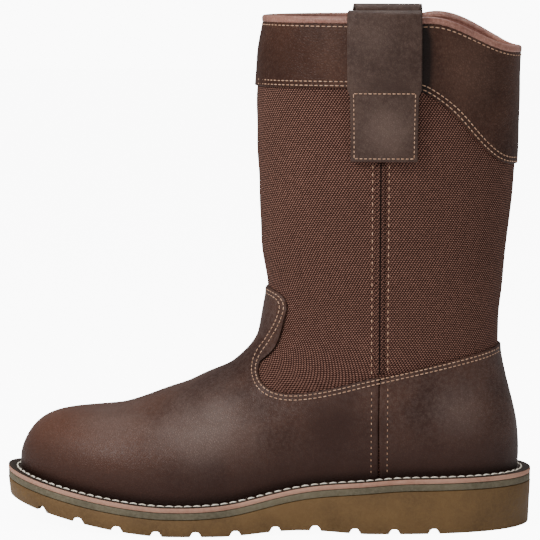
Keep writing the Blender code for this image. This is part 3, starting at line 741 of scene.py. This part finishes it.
def spaced(count, near):
    """Shares from 0 to 1, with extra ones near the ends to round an edge."""
    return np.concatenate(((0.0, near * 0.3, near), np.linspace(near * 2.5, 1.0 - near * 2.5, count),
                           (1.0 - near, 1.0 - near * 0.3, 1.0)))


def edge_lift(count, ends=(True, True)):
    """How much of the thickness stands at each of those shares: less at a cut edge."""
    lift = np.ones(count)
    if ends[0]:
        lift[:2] = (0.30, 0.78)
    if ends[1]:
        lift[-2:] = (0.78, 0.30)
    return lift


def panel(name, angle, row, thickness, materials, closed, sides):
    """Closed shell over a grid of angles and rows, with rounded cut edges on the sides named."""
    nv, nu = angle.shape
    lift_v = edge_lift(nv, ("foot" in sides, "top" in sides))
    lift_u = np.ones(nu) if closed else edge_lift(nu)
    lift = GAP + thickness * np.minimum(lift_v[:, None], lift_u[None, :])
    outer = on_form(angle, row, lift)
    inner = on_form(angle, row, np.full_like(angle, GAP))
    if not closed:
        outer = np.concatenate((inner[:, :1], outer, inner[:, -1:]), axis=1)
        inner = np.concatenate((inner[:, :1], inner, inner[:, -1:]), axis=1)
    sheet = np.concatenate((outer, inner[::-1]))
    flat = np.zeros((*sheet.shape[:2], 2))
    step = np.linalg.norm(np.diff(outer, axis=1), axis=2)
    run = np.concatenate((np.zeros((outer.shape[0], 1)), np.cumsum(step, axis=1)), axis=1)
    flat[..., 0] = run.mean(axis=0)
    flat[..., 1] = sheet[..., 2] - sole_top(sheet[..., 0])
    slots = [0] * nv + [len(materials) - 1] * nv
    return orient(grid_object(name, sheet, materials, closed, True, flat, slots))


print("creases:", len(CREASES))

# %% [markdown]
# ## The cloth shaft
# The shaft is one wall of coarse woven cloth with a leather lining, sewn into a tube. It runs
# down inside the foot's leather. Its outer face carries the weave on a flat map in metres, so the
# threads keep their size all the way up.

# %% Upper
COLUMNS = 300
WALL_ROWS = 150
GIRTH_ROW = 110
angles = np.linspace(0.0, 2.0 * pi, COLUMNS + 1)[:-1]


def wall_edge(angle):
    """Row of the upper edge, under the binding."""
    return row_at_height(angle, lambda x, y: rim_height(x, y) - PIPING_HEIGHT - GAP)


rim_row = wall_edge(angles)
share = np.linspace(0.0, 1.0, WALL_ROWS)
rows = np.maximum(share[:, None] * rim_row[None, :], 0.0)
around = np.broadcast_to(angles, rows.shape)
outer = on_form(around, rows, 0.0)
inner = on_form(around, rows, -WALL)
for sheet in (outer, inner):
    sheet[-1, :, 2] = rim_height(sheet[-1, :, 0], sheet[-1, :, 1]) - PIPING_HEIGHT + TUCK
sheet = np.concatenate((outer, inner[::-1]))
flat = np.zeros((*sheet.shape[:2], 2))
flat[..., 0] = run_along(outer[GIRTH_ROW])
flat[..., 1] = sheet[..., 2]
slots = [0] * (WALL_ROWS - 1) + [1] * (WALL_ROWS + 1)
upper = grid_object("shaft_cloth", sheet, [CLOTH, LINING], True, True, flat, slots)
finish_piece(orient(upper), "upper")

# %% [markdown]
# ## The leather round the foot
# The vamp covers toe and instep and ends in a rounded tongue up the front of the ankle. Its top
# line runs on over the heel quarter, and the two meet in an open seam at each side. Each column
# of the vamp's grid fans from the welt to a point of that top line, so the grid follows its edge.


# %% Vamp and quarter
def top_points(count, side):
    """Angles and rows along the top line, from the side seam to the middle of the tongue."""
    ahead = leather_top[leather_top[:, 0] < along(SEAM_STATION) - SEAM_SPLIT / 2.0][::-1]
    seam_z = float(np.interp(along(SEAM_STATION), behind[:, 0], behind[:, 1]))
    path = np.concatenate((((along(SEAM_STATION) - SEAM_SPLIT / 2.0, seam_z),), ahead))
    angle, row = place(path[:, 0], path[:, 1], 1)
    keep = angle > 0.04
    last = np.argmax(~keep) if (~keep).any() else len(keep)
    angle, row = np.append(angle[:last], 0.0), np.append(row[:last], row[last - 1])
    points = form_points(angle, row)
    run = run_along(points)
    at = spaced(count - 6, 0.004)[:count]
    return np.interp(at, run / run[-1], angle) * side, np.interp(at, run / run[-1], row)


def straighten(angle, row, x, side, column, falloff):
    """Moves columns near an edge so that the edge stands at one x."""
    flat_row = row[:, column]
    target = side * angle_at(np.full_like(flat_row, x), flat_row)
    shift = target - angle[:, column]
    return angle + shift[:, None] * falloff[None, :]


VAMP_HALF = 130
VAMP_ROWS = 64
QUARTER_COLUMNS = 170
QUARTER_ROWS = 50
SEAM_TOP_ROW = 8.6


def angle_at_seam(row):
    """Angle of the side seam on one row."""
    return float(angle_at(np.array([along(SEAM_STATION)]), np.array([row]))[0])


top_angle, top_row = top_points(VAMP_HALF, 1)
foot_angle = angle_at_seam(0.0)
bottom = foot_angle * (1.0 - spaced(VAMP_HALF - 6, 0.004))
v = spaced(VAMP_ROWS, 0.006)
v[0:3] = (0.0, 0.004, 0.008)
angle = bottom[None, :] + (top_angle - bottom)[None, :] * v[:, None]
row = top_row[None, :] * v[:, None]
fall = np.linspace(1.0, 0.0, VAMP_HALF) ** 5
angle = straighten(angle, row, along(SEAM_STATION) - SEAM_SPLIT / 2.0, 1, 0, fall)
angle = np.concatenate((angle, -angle[:, -2::-1]), axis=1)
row = np.concatenate((row, row[:, -2::-1]), axis=1)
vamp = panel("vamp_leather", angle, row, LEATHER, [OILED], False, ("top",))
finish_piece(vamp, "vamp")

start_top = angle_at_seam(SEAM_TOP_ROW)
u = spaced(QUARTER_COLUMNS - 6, 0.003)
low_angle = foot_angle + (2.0 * pi - 2.0 * foot_angle) * u
high_angle = start_top + (2.0 * pi - 2.0 * start_top) * u
high_row = row_at_height(high_angle, lambda x, y: np.interp(x, behind[:, 0], behind[:, 1]))
v = spaced(QUARTER_ROWS, 0.006)
angle = low_angle[None, :] + (high_angle - low_angle)[None, :] * v[:, None]
row = high_row[None, :] * v[:, None]
seam_x = along(SEAM_STATION) + SEAM_SPLIT / 2.0
fall = np.linspace(1.0, 0.0, QUARTER_COLUMNS) ** 6
angle = straighten(angle, row, seam_x, 1, 0, fall)
mirrored = straighten(2.0 * pi - angle, row, seam_x, 1, -1, fall[::-1])
angle = 2.0 * pi - mirrored
quarter = panel("quarter_leather", angle, row, LEATHER, [OILED], False, ("top",))
finish_piece(quarter, "quarter")

# %% [markdown]
# ## The collar
# A band of softer, pebbled leather strengthens the top and dips in a scallop at the back. It is
# a closed ring, so its grid runs straight round, from the scalloped edge up to the binding.

# %% Collar
COLLAR_ROWS = 46
low_row = row_at_height(angles, lambda x, y: np.interp(x, collar_foot[:, 0], collar_foot[:, 1]))
v = spaced(COLLAR_ROWS, 0.009)
rows = low_row[None, :] + (rim_row - low_row)[None, :] * v[:, None]
collar = panel("collar_leather", np.broadcast_to(angles, rows.shape), rows, LEATHER, [GRAINED, LINING],
               True, ("foot",))
finish_piece(collar, "collar")

# %% [markdown]
# ## The binding
# A strip of lighter leather is folded over the top edge and sewn down. It is a small rounded
# profile carried round the rim.

# %% Piping
PROFILE = ((-0.50, 0.00), (-0.52, 0.25), (-0.52, 0.55), (-0.45, 0.80), (-0.28, 0.96), (0.0, 1.00),
           (0.28, 0.96), (0.47, 0.80), (0.54, 0.55), (0.53, 0.25), (0.50, 0.00))
PUCKER = 0.00010
PUCKERS = 96.0
outside = GAP + LEATHER + BINDING_LAP
inside = -WALL - BINDING_LAP
rings = []
for across, up in PROFILE:
    ring = on_form(angles, rim_row, (outside + inside) / 2.0 + across * (outside - inside))
    pucker = PUCKER * np.sin(angles * PUCKERS) * (1.0 - up)
    rim = rim_height(ring[:, 0], ring[:, 1])
    ring[:, 2] = rim - PIPING_HEIGHT * (1.0 - up) + np.where(up > 0.9, 0.0, pucker)
    rings.append(ring)
piping = grid_object("binding", np.array(rings), [BINDING], True, True)
finish_piece(orient(piping), "piping")

# %% [markdown]
# ## Pull straps and side seams
# A pull strap is a long band of smooth leather: sewn down outside, free for a hand's width, bent
# over the rim and sewn inside. A side seam is a narrow folded band of the shaft's own cloth with
# a dark join down its middle. Both are bands swept up the form, with a width and a lift at each step.


# %% Bands
def band(name, side, station, steps, materials, columns, profile):
    """Closed strip over the form. steps are rows of height, width, outer and inner lift and rise."""
    columns = np.concatenate(((-0.5, -0.494, -0.48), np.linspace(-0.45, 0.45, columns), (0.48, 0.494, 0.5)))
    shape = profile(columns)
    sheets = {"outer": [], "inner": []}
    for height, width, outer, inner, rise_out, rise_in in steps:
        x = along(station) + columns * width
        angle, row = place(x, np.full_like(x, height), side)
        middle = (outer + inner) / 2.0
        for key, lift, rise in (("outer", outer, rise_out), ("inner", inner, rise_in)):
            points = on_form(angle, row, middle + (lift - middle) * shape, False)
            points[:, 2] += rise
            sheets[key].append(points)
    outer, inner = np.array(sheets["outer"]), np.array(sheets["inner"])
    sheet = np.concatenate((outer, inner[:, ::-1]), axis=1)
    flat = np.zeros((*sheet.shape[:2], 2))
    flat[..., 0] = np.concatenate((columns, columns[::-1])) * steps[0][1]
    flat[..., 1] = np.array([step[0] for step in steps])[:, None]
    return orient(grid_object(name, sheet, materials, True, False, flat), caps=True)


BEND = float(rim_height(along(STRAP_STATION))) - PIPING_HEIGHT
STRAP_OUT = outside + GAP
STRAP_IN = inside - GAP
STRAP_END = BEND - STRAP_DROP
BOX_GROOVES = ((0.500, 0.014), (0.972, 0.012))
BOX_GROOVE_DEPTH = 0.00045
NARROW_FROM = 0.47
NARROW_OVER = 0.05
OUTER_STEPS = 46
TURN_STEPS = 22
INNER_STEPS = 30


def strap_steps(loop):
    """Heights, widths and lifts of a strap from its outer end over the rim to its inner end."""
    steps = []
    near = (STRAP_OUT + STRAP_SLACK - STRAP_IN) / 2.0
    middle = (STRAP_OUT + STRAP_SLACK + STRAP_IN) / 2.0
    for drop in np.concatenate(((1.0, 0.996), np.linspace(0.985, 0.03, OUTER_STEPS))):
        free = np.clip((1.0 - drop) / 0.5, 0.0, 1.0)
        lift = STRAP_OUT + STRAP_SLACK * free ** 2
        narrow = np.clip((drop - NARROW_FROM) / NARROW_OVER, 0.0, 1.0)
        width = STRAP_WIDTH * (1.0 - (1.0 - STRAP_FOOT) * ease(narrow))
        box = BOX_GROOVE_DEPTH * sum(np.exp(-((drop - at) / wide) ** 2) for at, wide in BOX_GROOVES)
        rounding = 0.3 if drop > 0.999 else 1.0
        steps.append((BEND - STRAP_DROP * drop, width, lift + STRAP_THICKNESS * rounding - box,
                      lift, 0.0, 0.0))
    for turn in np.linspace(0.0, pi, TURN_STEPS):
        full, thin = abs(np.sin(turn)) ** 0.42, abs(np.sin(turn)) ** 0.60
        top = PIPING_HEIGHT + loop
        steps.append((BEND, STRAP_WIDTH, middle + (near + STRAP_THICKNESS) * np.cos(turn),
                      middle + near * np.cos(turn), (top + STRAP_THICKNESS) * thin, top * full))
    for drop in np.linspace(0.03, 1.0, INNER_STEPS):
        steps.append((BEND - STRAP_DROP * drop, STRAP_WIDTH, STRAP_IN - STRAP_THICKNESS, STRAP_IN, 0.0, 0.0))
    return steps


def strap_profile(columns):
    """Rounded long edges, with a shallow groove where the side stitches pull in."""
    edge = np.where(np.abs(columns) > 0.497, 0.35, np.where(np.abs(columns) > 0.49, 0.8, 1.0))
    return edge - 0.16 * np.exp(-((np.abs(columns) - 0.44) / 0.012) ** 2)


def seam_profile(columns):
    """Two rounded folds of cloth with a groove between them."""
    fold = np.clip(1.0 - (2.0 * np.abs(columns)) ** 4, 0.15, 1.0)
    return fold - 0.80 * np.exp(-(columns / 0.07) ** 2)


SEAM_END_GAP = 0.0012
SEAM_STEPS = 60
seam_edge = along(SEAM_STATION) + SEAM_WIDTH / 2.0
seam_foot = float(np.interp(seam_edge, behind[:, 0], behind[:, 1])) + SEAM_END_GAP
seam_steps = [(z, SEAM_WIDTH, GAP + SEAM_HEIGHT, GAP, 0.0, 0.0)
              for z in np.linspace(seam_foot, STRAP_END - SEAM_END_GAP, SEAM_STEPS)]
for side, place_name, station, loop in ((1, "outer", STRAP_STATION, STRAP_LOOP),
                                        (-1, "inner", INNER_STRAP_STATION, INNER_STRAP_LOOP)):
    strap = band("strap_" + place_name, side, station, strap_steps(loop), [STRAP], 40, strap_profile)
    finish_piece(strap, "pull_strap_" + place_name)
    seam = band("seam_" + place_name, side, SEAM_STATION, seam_steps, [SEAM_CLOTH], 24, seam_profile)
    finish_piece(seam, "side_seam_" + place_name)

# %% [markdown]
# ## The sole
# Under the upper lie a leather welt, a thin rubber midsole and the wedge outsole, with a footbed
# inside. Each is the foot's own outline moved outwards, between two heights. The rings of a layer
# turn a small radius at its edges. The tread's notches are cut with one zigzag cutter.


# %% Sole layers
SOLE_COLUMNS = 360
sole_angles = np.linspace(0.0, 2.0 * pi, SOLE_COLUMNS + 1)[:-1]


def ring_of(reach, height):
    """One ring of a sole layer."""
    edge = outline(sole_angles, reach)
    return np.column_stack((edge, height(edge[:, 0])))


def slab(name, reach, low_reach, top, bottom, radius, materials):
    """Closed slab with rounded edges, its two faces filled across the foot."""
    turn = ((0.0, 1.0), (0.3, 0.3), (1.0, 0.0))
    rings = [ring_of(reach - radius * b, lambda x, a=a: top(x) - radius * a) for a, b in turn]
    rings += [ring_of(low_reach - radius * b, lambda x, a=a: bottom(x) + radius * a) for a, b in turn[::-1]]
    sheet = np.array(rings)
    piece = grid_object(name, sheet, materials, True)
    half = len(sole_angles) // 2
    work = bmesh.new()
    work.from_mesh(piece.data)
    every = list(work.verts)
    for base, level in ((0, top), ((len(rings) - 1) * len(sole_angles), bottom)):
        loops = every[base:base + len(sole_angles)]
        last = None
        for k in range(half + 1):
            left, right = loops[k], loops[-k % len(sole_angles)]
            row = [left]
            if k not in (0, half):
                for share in (0.25, 0.5, 0.75):
                    spot = left.co.lerp(right.co, share)
                    row.append(work.verts.new((spot.x, spot.y, float(level(spot.x)))))
            row.append(right)
            if last is not None:
                if len(row) == len(last):
                    for j in range(4):
                        work.faces.new((last[j], last[j + 1], row[j + 1], row[j]))
                else:
                    tip, wide = (last[0], row) if len(last) == 2 else (row[0], last)
                    for j in range(4):
                        work.faces.new((tip, wide[j + 1], wide[j]))
            last = row
    bmesh.ops.recalc_face_normals(work, faces=work.faces)
    work.to_mesh(piece.data)
    work.free()
    piece.data.shade_smooth()
    piece.data.set_sharp_from_angle(angle=1.0)
    return piece


inner_reach = -WALL - WELT_UNDERLAP
edge_turn = ((0.0, 1.0), (0.08, 0.55), (0.30, 0.18), (0.75, 0.0))
radius = 0.0008
STITCH_GROOVE = ((GAP + LEATHER + 0.0012, 0.0), (0.0033, 0.0004), (0.0047, 0.0004), (0.0056, 0.0))
rings = [ring_of(inner_reach, sole_top)]
rings += [ring_of(reach, lambda x, depth=depth: sole_top(x) - depth) for reach, depth in STITCH_GROOVE]
rings += [ring_of(WELT_LEDGE - radius * b, lambda x, a=a: sole_top(x) - radius * a) for a, b in edge_turn]
rings += [ring_of(WELT_LEDGE, lambda x: sole_top(x) - WELT_THICKNESS + 0.0002),
          ring_of(WELT_LEDGE - 0.0003, lambda x: sole_top(x) - WELT_THICKNESS),
          ring_of(inner_reach, lambda x: sole_top(x) - WELT_THICKNESS)]
slots = [0] * 7 + [1] * (len(rings) - 7)
welt = orient(grid_object("stitched_welt", np.array(rings), [WELT_TOP, WELT_EDGE], True, True, None, slots))
finish_piece(welt, "welt")

midsole_top = WELT_THICKNESS + GAP
outsole_top = midsole_top + MIDSOLE_THICKNESS + GAP
midsole = slab("midsole_layer", WELT_LEDGE - 0.0001, WELT_LEDGE - 0.0001, lambda x: sole_top(x) - midsole_top,
               lambda x: sole_top(x) - outsole_top + GAP, 0.0003, [MIDSOLE])
finish_piece(midsole, "midsole")
footbed = slab("footbed_board", inner_reach - GAP, inner_reach - GAP, lambda x: sole_top(x) + INSOLE_RISE,
               lambda x: sole_top(x) - WELT_THICKNESS, 0.0010, [FOOTBED])
finish_piece(footbed, "insole")


# %% Outsole with its zigzag notches
NOTCH_PATH = ((-5.0, 0.0), (-2.0, 0.0), (-1.5, 1.0), (-0.5, -1.0),
              (0.5, 1.0), (1.5, -1.0), (2.0, 0.0), (5.0, 0.0))
NOTCH_ROUNDING = 0.0006


def notch_cutter():
    """All the notches as one mesh of grooves."""
    slope = (NOTCH_MOUTH - NOTCH_TOP) / (2.0 * NOTCH_DEPTH)
    wide, narrow = NOTCH_MOUTH / 2.0 + slope * NOTCH_DEPTH, NOTCH_TOP / 2.0
    work = bmesh.new()
    for k in range(NOTCH_COUNT):
        x = along(NOTCH_FIRST) + k * NOTCH_PITCH
        low, high = float(tread_height(x)) - NOTCH_DEPTH, float(tread_height(x)) + NOTCH_DEPTH
        soft = NOTCH_ROUNDING
        profile = ((-wide, low), (-narrow - soft * 0.6, high - soft), (-narrow + soft, high),
                   (narrow - soft, high), (narrow + soft * 0.6, high - soft), (wide, low))
        loops = [[work.verts.new((x + shift * ZIGZAG + dx, step * ZIGZAG_STEP, z)) for dx, z in profile]
                 for step, shift in NOTCH_PATH]
        for this, following in zip(loops, loops[1:]):
            for j in range(len(profile)):
                after = (j + 1) % len(profile)
                work.faces.new((this[j], this[after], following[after], following[j]))
        work.faces.new(loops[0][::-1])
        work.faces.new(loops[-1])
    bmesh.ops.recalc_face_normals(work, faces=work.faces)
    mesh = bpy.data.meshes.new("notches")
    work.to_mesh(mesh)
    work.free()
    return new_object("notches", mesh)


def applied(piece):
    """The piece with its modifiers made part of its mesh."""
    mesh = bpy.data.meshes.new_from_object(piece.evaluated_get(bpy.context.evaluated_depsgraph_get()))
    piece.modifiers.clear()
    piece.data = mesh
    return piece


outsole = slab("wedge_outsole", WELT_LEDGE, WELT_LEDGE - OUTSOLE_TAPER, lambda x: sole_top(x) - outsole_top,
               tread_height, 0.0006, [OUTSOLE])
cutter = notch_cutter()
cut = outsole.modifiers.new("notches", "BOOLEAN")
cut.operation, cut.object, cut.solver = "DIFFERENCE", cutter, "EXACT"
applied(outsole)
bpy.data.objects.remove(cutter, do_unlink=True)
outsole.data.shade_smooth()
outsole.data.set_sharp_from_angle(angle=radians(32))
finish_piece(outsole, "outsole")

# %% [markdown]
# ## Stitches
# A row of stitches is one short bent piece of thread, repeated along a line of points that lie on
# the surface. Each point carries two directions, along the row and out of the surface, and
# Geometry Nodes turns the stitch to fit them. A second tree sets a needle hole between stitches.


# %% Stitch tree
HOLE_LIFT = 0.00006


def stitch_tree(name, kind):
    """Repeats a bent thread, or a small dark hole, on every point."""
    tree = bpy.data.node_groups.new(name, "GeometryNodeTree")
    face = tree.interface
    face.new_socket("Geometry", in_out="INPUT", socket_type="NodeSocketGeometry")
    for label, value in (("Length", 0.002), ("Thickness", 0.0003)):
        face.new_socket(label, in_out="INPUT", socket_type="NodeSocketFloat").default_value = value
    face.new_socket("Material", in_out="INPUT", socket_type="NodeSocketMaterial")
    face.new_socket("Geometry", in_out="OUTPUT", socket_type="NodeSocketGeometry")
    n = Nodes(tree)
    start = n.add("NodeGroupInput")
    length, thick = start.outputs["Length"], start.outputs["Thickness"]
    if kind == "thread":
        ends, sunk = n.math("MULTIPLY", length, 0.5), n.math("MULTIPLY", thick, -1.0)
        first = n.add("ShaderNodeCombineXYZ", {0: n.math("MULTIPLY", ends, -1.0), 2: sunk})
        top = n.add("ShaderNodeCombineXYZ", {2: n.math("MULTIPLY", thick, 1.9)})
        last = n.add("ShaderNodeCombineXYZ", {0: ends, 2: sunk})
        arc = n.add("GeometryNodeCurveQuadraticBezier", {"Resolution": 6, "Start": first.outputs[0],
                                                         "Middle": top.outputs[0], "End": last.outputs[0]})
        ring = n.add("GeometryNodeCurvePrimitiveCircle", {"Resolution": 6, "Radius": thick})
        shape = n.add("GeometryNodeCurveToMesh", {"Curve": arc.outputs[0], "Profile Curve": ring.outputs[0],
                                                  "Fill Caps": True}).outputs[0]
        shape = n.add("GeometryNodeSetShadeSmooth", {0: shape}).outputs[0]
    else:
        disc = n.add("GeometryNodeMeshCircle", {"Vertices": 8, "Radius": thick}, fill_type="NGON").outputs[0]
        lift = n.add("ShaderNodeCombineXYZ", {2: HOLE_LIFT})
        stretch = n.add("ShaderNodeCombineXYZ", {0: n.math("DIVIDE", length, thick), 1: 1.0, 2: 1.0})
        shape = n.add("GeometryNodeTransform", {"Geometry": disc, "Translation": lift.outputs[0],
                                                "Scale": stretch.outputs[0]}).outputs[0]
    read = [n.add("GeometryNodeInputNamedAttribute", {"Name": label}, data_type="FLOAT_VECTOR").outputs[0]
            for label in ("outwards", "forwards")]
    turn = n.add("FunctionNodeAxesToRotation", {"Primary Axis": read[0], "Secondary Axis": read[1]},
                 primary_axis="Z", secondary_axis="X")
    points = n.add("GeometryNodeMeshToPoints", {"Mesh": start.outputs[0]})
    spread = n.add("GeometryNodeInstanceOnPoints", {"Points": points.outputs[0], "Instance": shape,
                                                    "Rotation": turn.outputs[0]})
    real = n.add("GeometryNodeRealizeInstances", {0: spread.outputs[0]})
    dyed = n.add("GeometryNodeSetMaterial",
                 {"Geometry": real.outputs[0], "Material": start.outputs["Material"]})
    n.send(n.add("NodeGroupOutput"), dyed.outputs[0])
    return tree


TREES = {"thread": stitch_tree("thread_stitches", "thread"), "hole": stitch_tree("needle_holes", "hole")}
Row = namedtuple("Row", "points normals")


def spread_along(points, normals, pitch, shift=0.0):
    """Evenly spaced places on a line, with the way the line runs there."""
    run = run_along(points)
    count = max(2, int(round(run[-1] / pitch)))
    at = (np.arange(count) + 0.5 + shift) * run[-1] / count
    at = at[at < run[-1]]
    read = lambda table, s: np.stack([np.interp(s, run, table[:, k]) for k in range(3)], axis=1)
    ahead = read(points, np.minimum(at + 0.0003, run[-1])) - read(points, np.maximum(at - 0.0003, 0.0))
    return read(points, at), read(normals, at), ahead


def sew(name, rows, pitch, length, thickness, made, node_slot, kind="thread"):
    """One mesh of stitches or holes for several rows."""
    shift = 0.5 if kind == "hole" else 0.0
    sets = [spread_along(row.points, row.normals, pitch, shift) for row in rows]
    places, outwards, forwards = (np.concatenate(column) for column in zip(*sets))
    mesh = bpy.data.meshes.new(name)
    mesh.from_pydata(places.tolist(), [], [])
    for label, values in (("outwards", outwards), ("forwards", forwards)):
        layer = mesh.attributes.new(label, "FLOAT_VECTOR", "POINT")
        layer.data.foreach_set("vector", values.ravel())
    piece = new_object(name, mesh)
    nodes = piece.modifiers.new("sew", "NODES")
    nodes.node_group = TREES[kind]
    sockets = {item.name: item.identifier for item in TREES[kind].interface.items_tree
               if item.in_out == "INPUT"}
    for label, value in (("Length", length), ("Thickness", thickness), ("Material", made)):
        nodes[sockets[label]] = value
    applied(piece)
    for label in ("outwards", "forwards"):
        layer = piece.data.attributes.get(label)
        if layer:
            piece.data.attributes.remove(layer)
    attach(piece, "root")
    print(name, len(places), kind, len(piece.data.polygons), "faces")


def sew_with_holes(name, rows, pitch, stitch, hole, node_slot):
    """Tan stitches and the needle holes between them. stitch and hole are lengths and thicknesses."""
    sew(name + "_stitches", rows, pitch, *stitch, THREAD, node_slot)
    sew(name + "_holes", rows, pitch, *hole, HOLE, node_slot, "hole")


def side_row(x, z, side, lift, creased=True):
    """A row over the form through side-view points."""
    angle, row = place(x, z, side)
    return Row(on_form(angle, row, lift, creased), outward(angle, row))


def offset_line(line, distance):
    """A side-view line moved to its right by a distance."""
    run = np.gradient(line, axis=0)
    run /= np.linalg.norm(run, axis=1)[:, None]
    return line + np.stack((run[:, 1], -run[:, 0]), axis=1) * distance


# %% Rows on the leather
def on_boot(line):
    """Points of a line that lie on the form in side view, up to its front and back edges."""
    angle, row = place(line[:, 0], line[:, 1], 1)
    return line[(angle > 0.03) & (angle < pi - 0.03)]


SURFACE = GAP + LEATHER
top_rows, collar_rows = [], []
for side in (1, -1):
    for distance in (0.0014, 0.0037):
        line = on_boot(offset_line(leather_top, distance))
        top_rows.append(side_row(line[:, 0], line[:, 1], side, SURFACE))
    for distance in (0.0015, 0.0039):
        line = on_boot(offset_line(collar_foot, -distance))
        collar_rows.append(side_row(line[:, 0], line[:, 1], side, SURFACE))
sew_with_holes("top_line", top_rows, 0.0029, (0.0020, 0.00027), (0.00052, 0.00034), "oiled_leather")
sew_with_holes("collar", collar_rows, 0.0032, (0.0022, 0.00030), (0.00055, 0.00036), "grained_leather")

ring = np.append(angles, 2.0 * pi)
RIM_STITCH_DROP = 0.0019
under = row_at_height(ring, lambda x, y: rim_height(x, y) - PIPING_HEIGHT - RIM_STITCH_DROP)
rim_stitches = Row(on_form(ring, under, SURFACE), outward(ring, under))
sew_with_holes("rim", [rim_stitches], 0.0035, (0.0024, 0.00028), (0.00055, 0.00034), "grained_leather")

# %% Rows down the side seams, round the strap boxes and along the welt
BESIDE_SEAM = 0.0047
seam_rows, leather_rows, box_rows = [], [], []
for side in (1, -1):
    for shift in (-BESIDE_SEAM, BESIDE_SEAM):
        top = np.linspace(STRAP_END - 0.001, seam_foot + shift * 0.22 - 0.0005, 80)
        x = np.full_like(top, along(SEAM_STATION) + shift)
        seam_rows.append(side_row(x, top, side, 0.0))
        low = np.linspace(seam_foot - 0.0085 + shift * 0.22, float(sole_top(x[0])) + 0.003, 50)
        leather_rows.append(side_row(x[:50], low, side, SURFACE))
    reach = STRAP_WIDTH * STRAP_FOOT / 2.0 - 0.0021
    foot, head = STRAP_END + 0.0020, STRAP_END + 0.0395
    corners = np.array(((-reach, foot), (reach, foot), (reach, head), (-reach, head), (-reach, foot)))
    for first, last in zip(corners, corners[1:]):
        line = first + (last - first) * np.linspace(0.0, 1.0, 30)[:, None]
        drop = (BEND - line[:, 1]) / STRAP_DROP
        lift = STRAP_OUT + STRAP_SLACK * np.clip((1.0 - drop) / 0.5, 0.0, 1.0) ** 2
        lift = lift + STRAP_THICKNESS - 0.00020
        station = STRAP_STATION if side > 0 else INNER_STRAP_STATION
        box_rows.append(side_row(along(station) + line[:, 0], line[:, 1], side, lift, False))
sew("cloth_seam_stitches", seam_rows, 0.0043, 0.0019, 0.00026, THREAD, "seam_cloth")
sew_with_holes("leather_seam", leather_rows, 0.0036, (0.0012, 0.00021), (0.00050, 0.00032), "oiled_leather")
sew_with_holes("strap_box", box_rows, 0.0027, (0.0018, 0.00027), (0.00045, 0.00034), "strap_leather")

closed = np.append(sole_angles, 2.0 * pi)
WELT_STITCH_REACH = 0.0040
edge = outline(closed, WELT_STITCH_REACH)
sunk = np.column_stack((edge, sole_top(edge[:, 0]) - 0.00025))
welt_row = Row(sunk, np.tile((0.0, 0.0, 1.0), (len(edge), 1)))
sew("welt_stitches", [welt_row], 0.0054, 0.0047, 0.00050, WELT_THREAD, "welt_leather")

# %% [markdown]
# ## Floor, light and camera
# The boot stands on a plain pale floor under soft boxes: a large one from the toe side and above,
# a fill from the heel side and a low front light for the sole. The camera stands to the outer
# side, a little above, with a long lens, as the photograph's does.


# %% Stage
FLOOR_GLOW = 9.5
SKY_SEEN = 10.3
SKY_LIGHT = 0.34


def flat_material(name, colour):
    """Pale floor paint that shines for the camera only, so that it lights nothing."""
    made, n, shader = new_material(name, Specular_IOR_Level=0.1, Emission_Color=(1.0, 1.0, 1.0, 1.0))
    seen = n.add("ShaderNodeLightPath").outputs["Is Camera Ray"]
    n.tree.links.new(n.math("MULTIPLY", seen, FLOOR_GLOW), shader.inputs["Emission Strength"])
    spot = n.spot()
    tone = n.noise(spot, 3.0, 2.0)
    finish(n, shader, n.mix(tone, colour, toned(colour, 0.98)), n.fade(tone, 0.0, 1.0, 0.6, 0.7))
    return made


bpy.ops.mesh.primitive_plane_add(size=12.0)
floor = bpy.context.object
floor.name = "floor"
floor.data.materials.append(flat_material("floor_paint", (0.90, 0.90, 0.90)))

world = bpy.context.scene.world or bpy.data.worlds.new("studio")
bpy.context.scene.world = world
world.use_nodes = True
sky = Nodes(world.node_tree)
seen = sky.add("ShaderNodeLightPath").outputs["Is Camera Ray"]
bright = sky.math("ADD", SKY_LIGHT, sky.math("MULTIPLY", seen, SKY_SEEN - SKY_LIGHT))
world.node_tree.nodes["Background"].inputs[0].default_value = (1.0, 1.0, 1.0, 1.0)
world.node_tree.links.new(bright, world.node_tree.nodes["Background"].inputs[1])

SoftBox = namedtuple("SoftBox", "name x y z size power")
BOXES = (
    SoftBox("key", -1.00, -0.75, 1.05, 0.60, 22.0),
    SoftBox("fill", 0.95, -0.95, 0.60, 0.80, 3.5),
    SoftBox("top", 0.10, 0.30, 1.30, 0.70, 8.0),
    SoftBox("low", -0.35, -1.30, 0.15, 0.60, 3.8),
)
LIT_SPOT = (-0.1, 0.0, 0.14)
for box in BOXES:
    lamp = bpy.data.lights.new(box.name, "AREA")
    lamp.size, lamp.energy = box.size, box.power
    piece = new_object(box.name, lamp)
    piece.location = (box.x, box.y, box.z)
    aim = np.array(LIT_SPOT) - np.array((box.x, box.y, box.z))
    tilt, heading = np.arctan2(np.hypot(aim[0], aim[1]), -aim[2]), np.arctan2(-aim[0], aim[1])
    piece.rotation_euler = Euler((tilt, 0.0, heading))

# %% Camera
CAMERA_SPOT = (-0.0886, -1.6302, 0.3427)
YAW, PITCH, ROLL = -1.036, -6.729, -0.067
FOCAL_PIXELS = 2756.8
FRAME_PIXELS = 540.0
lens = bpy.data.cameras.new("camera")
lens.sensor_width = 36.0
lens.lens = FOCAL_PIXELS / FRAME_PIXELS * lens.sensor_width
camera = new_object("camera", lens)
camera.location = CAMERA_SPOT
camera.rotation_euler = Euler((radians(90.0 + PITCH), radians(ROLL), radians(-YAW)), "XYZ")
bpy.context.scene.camera = camera
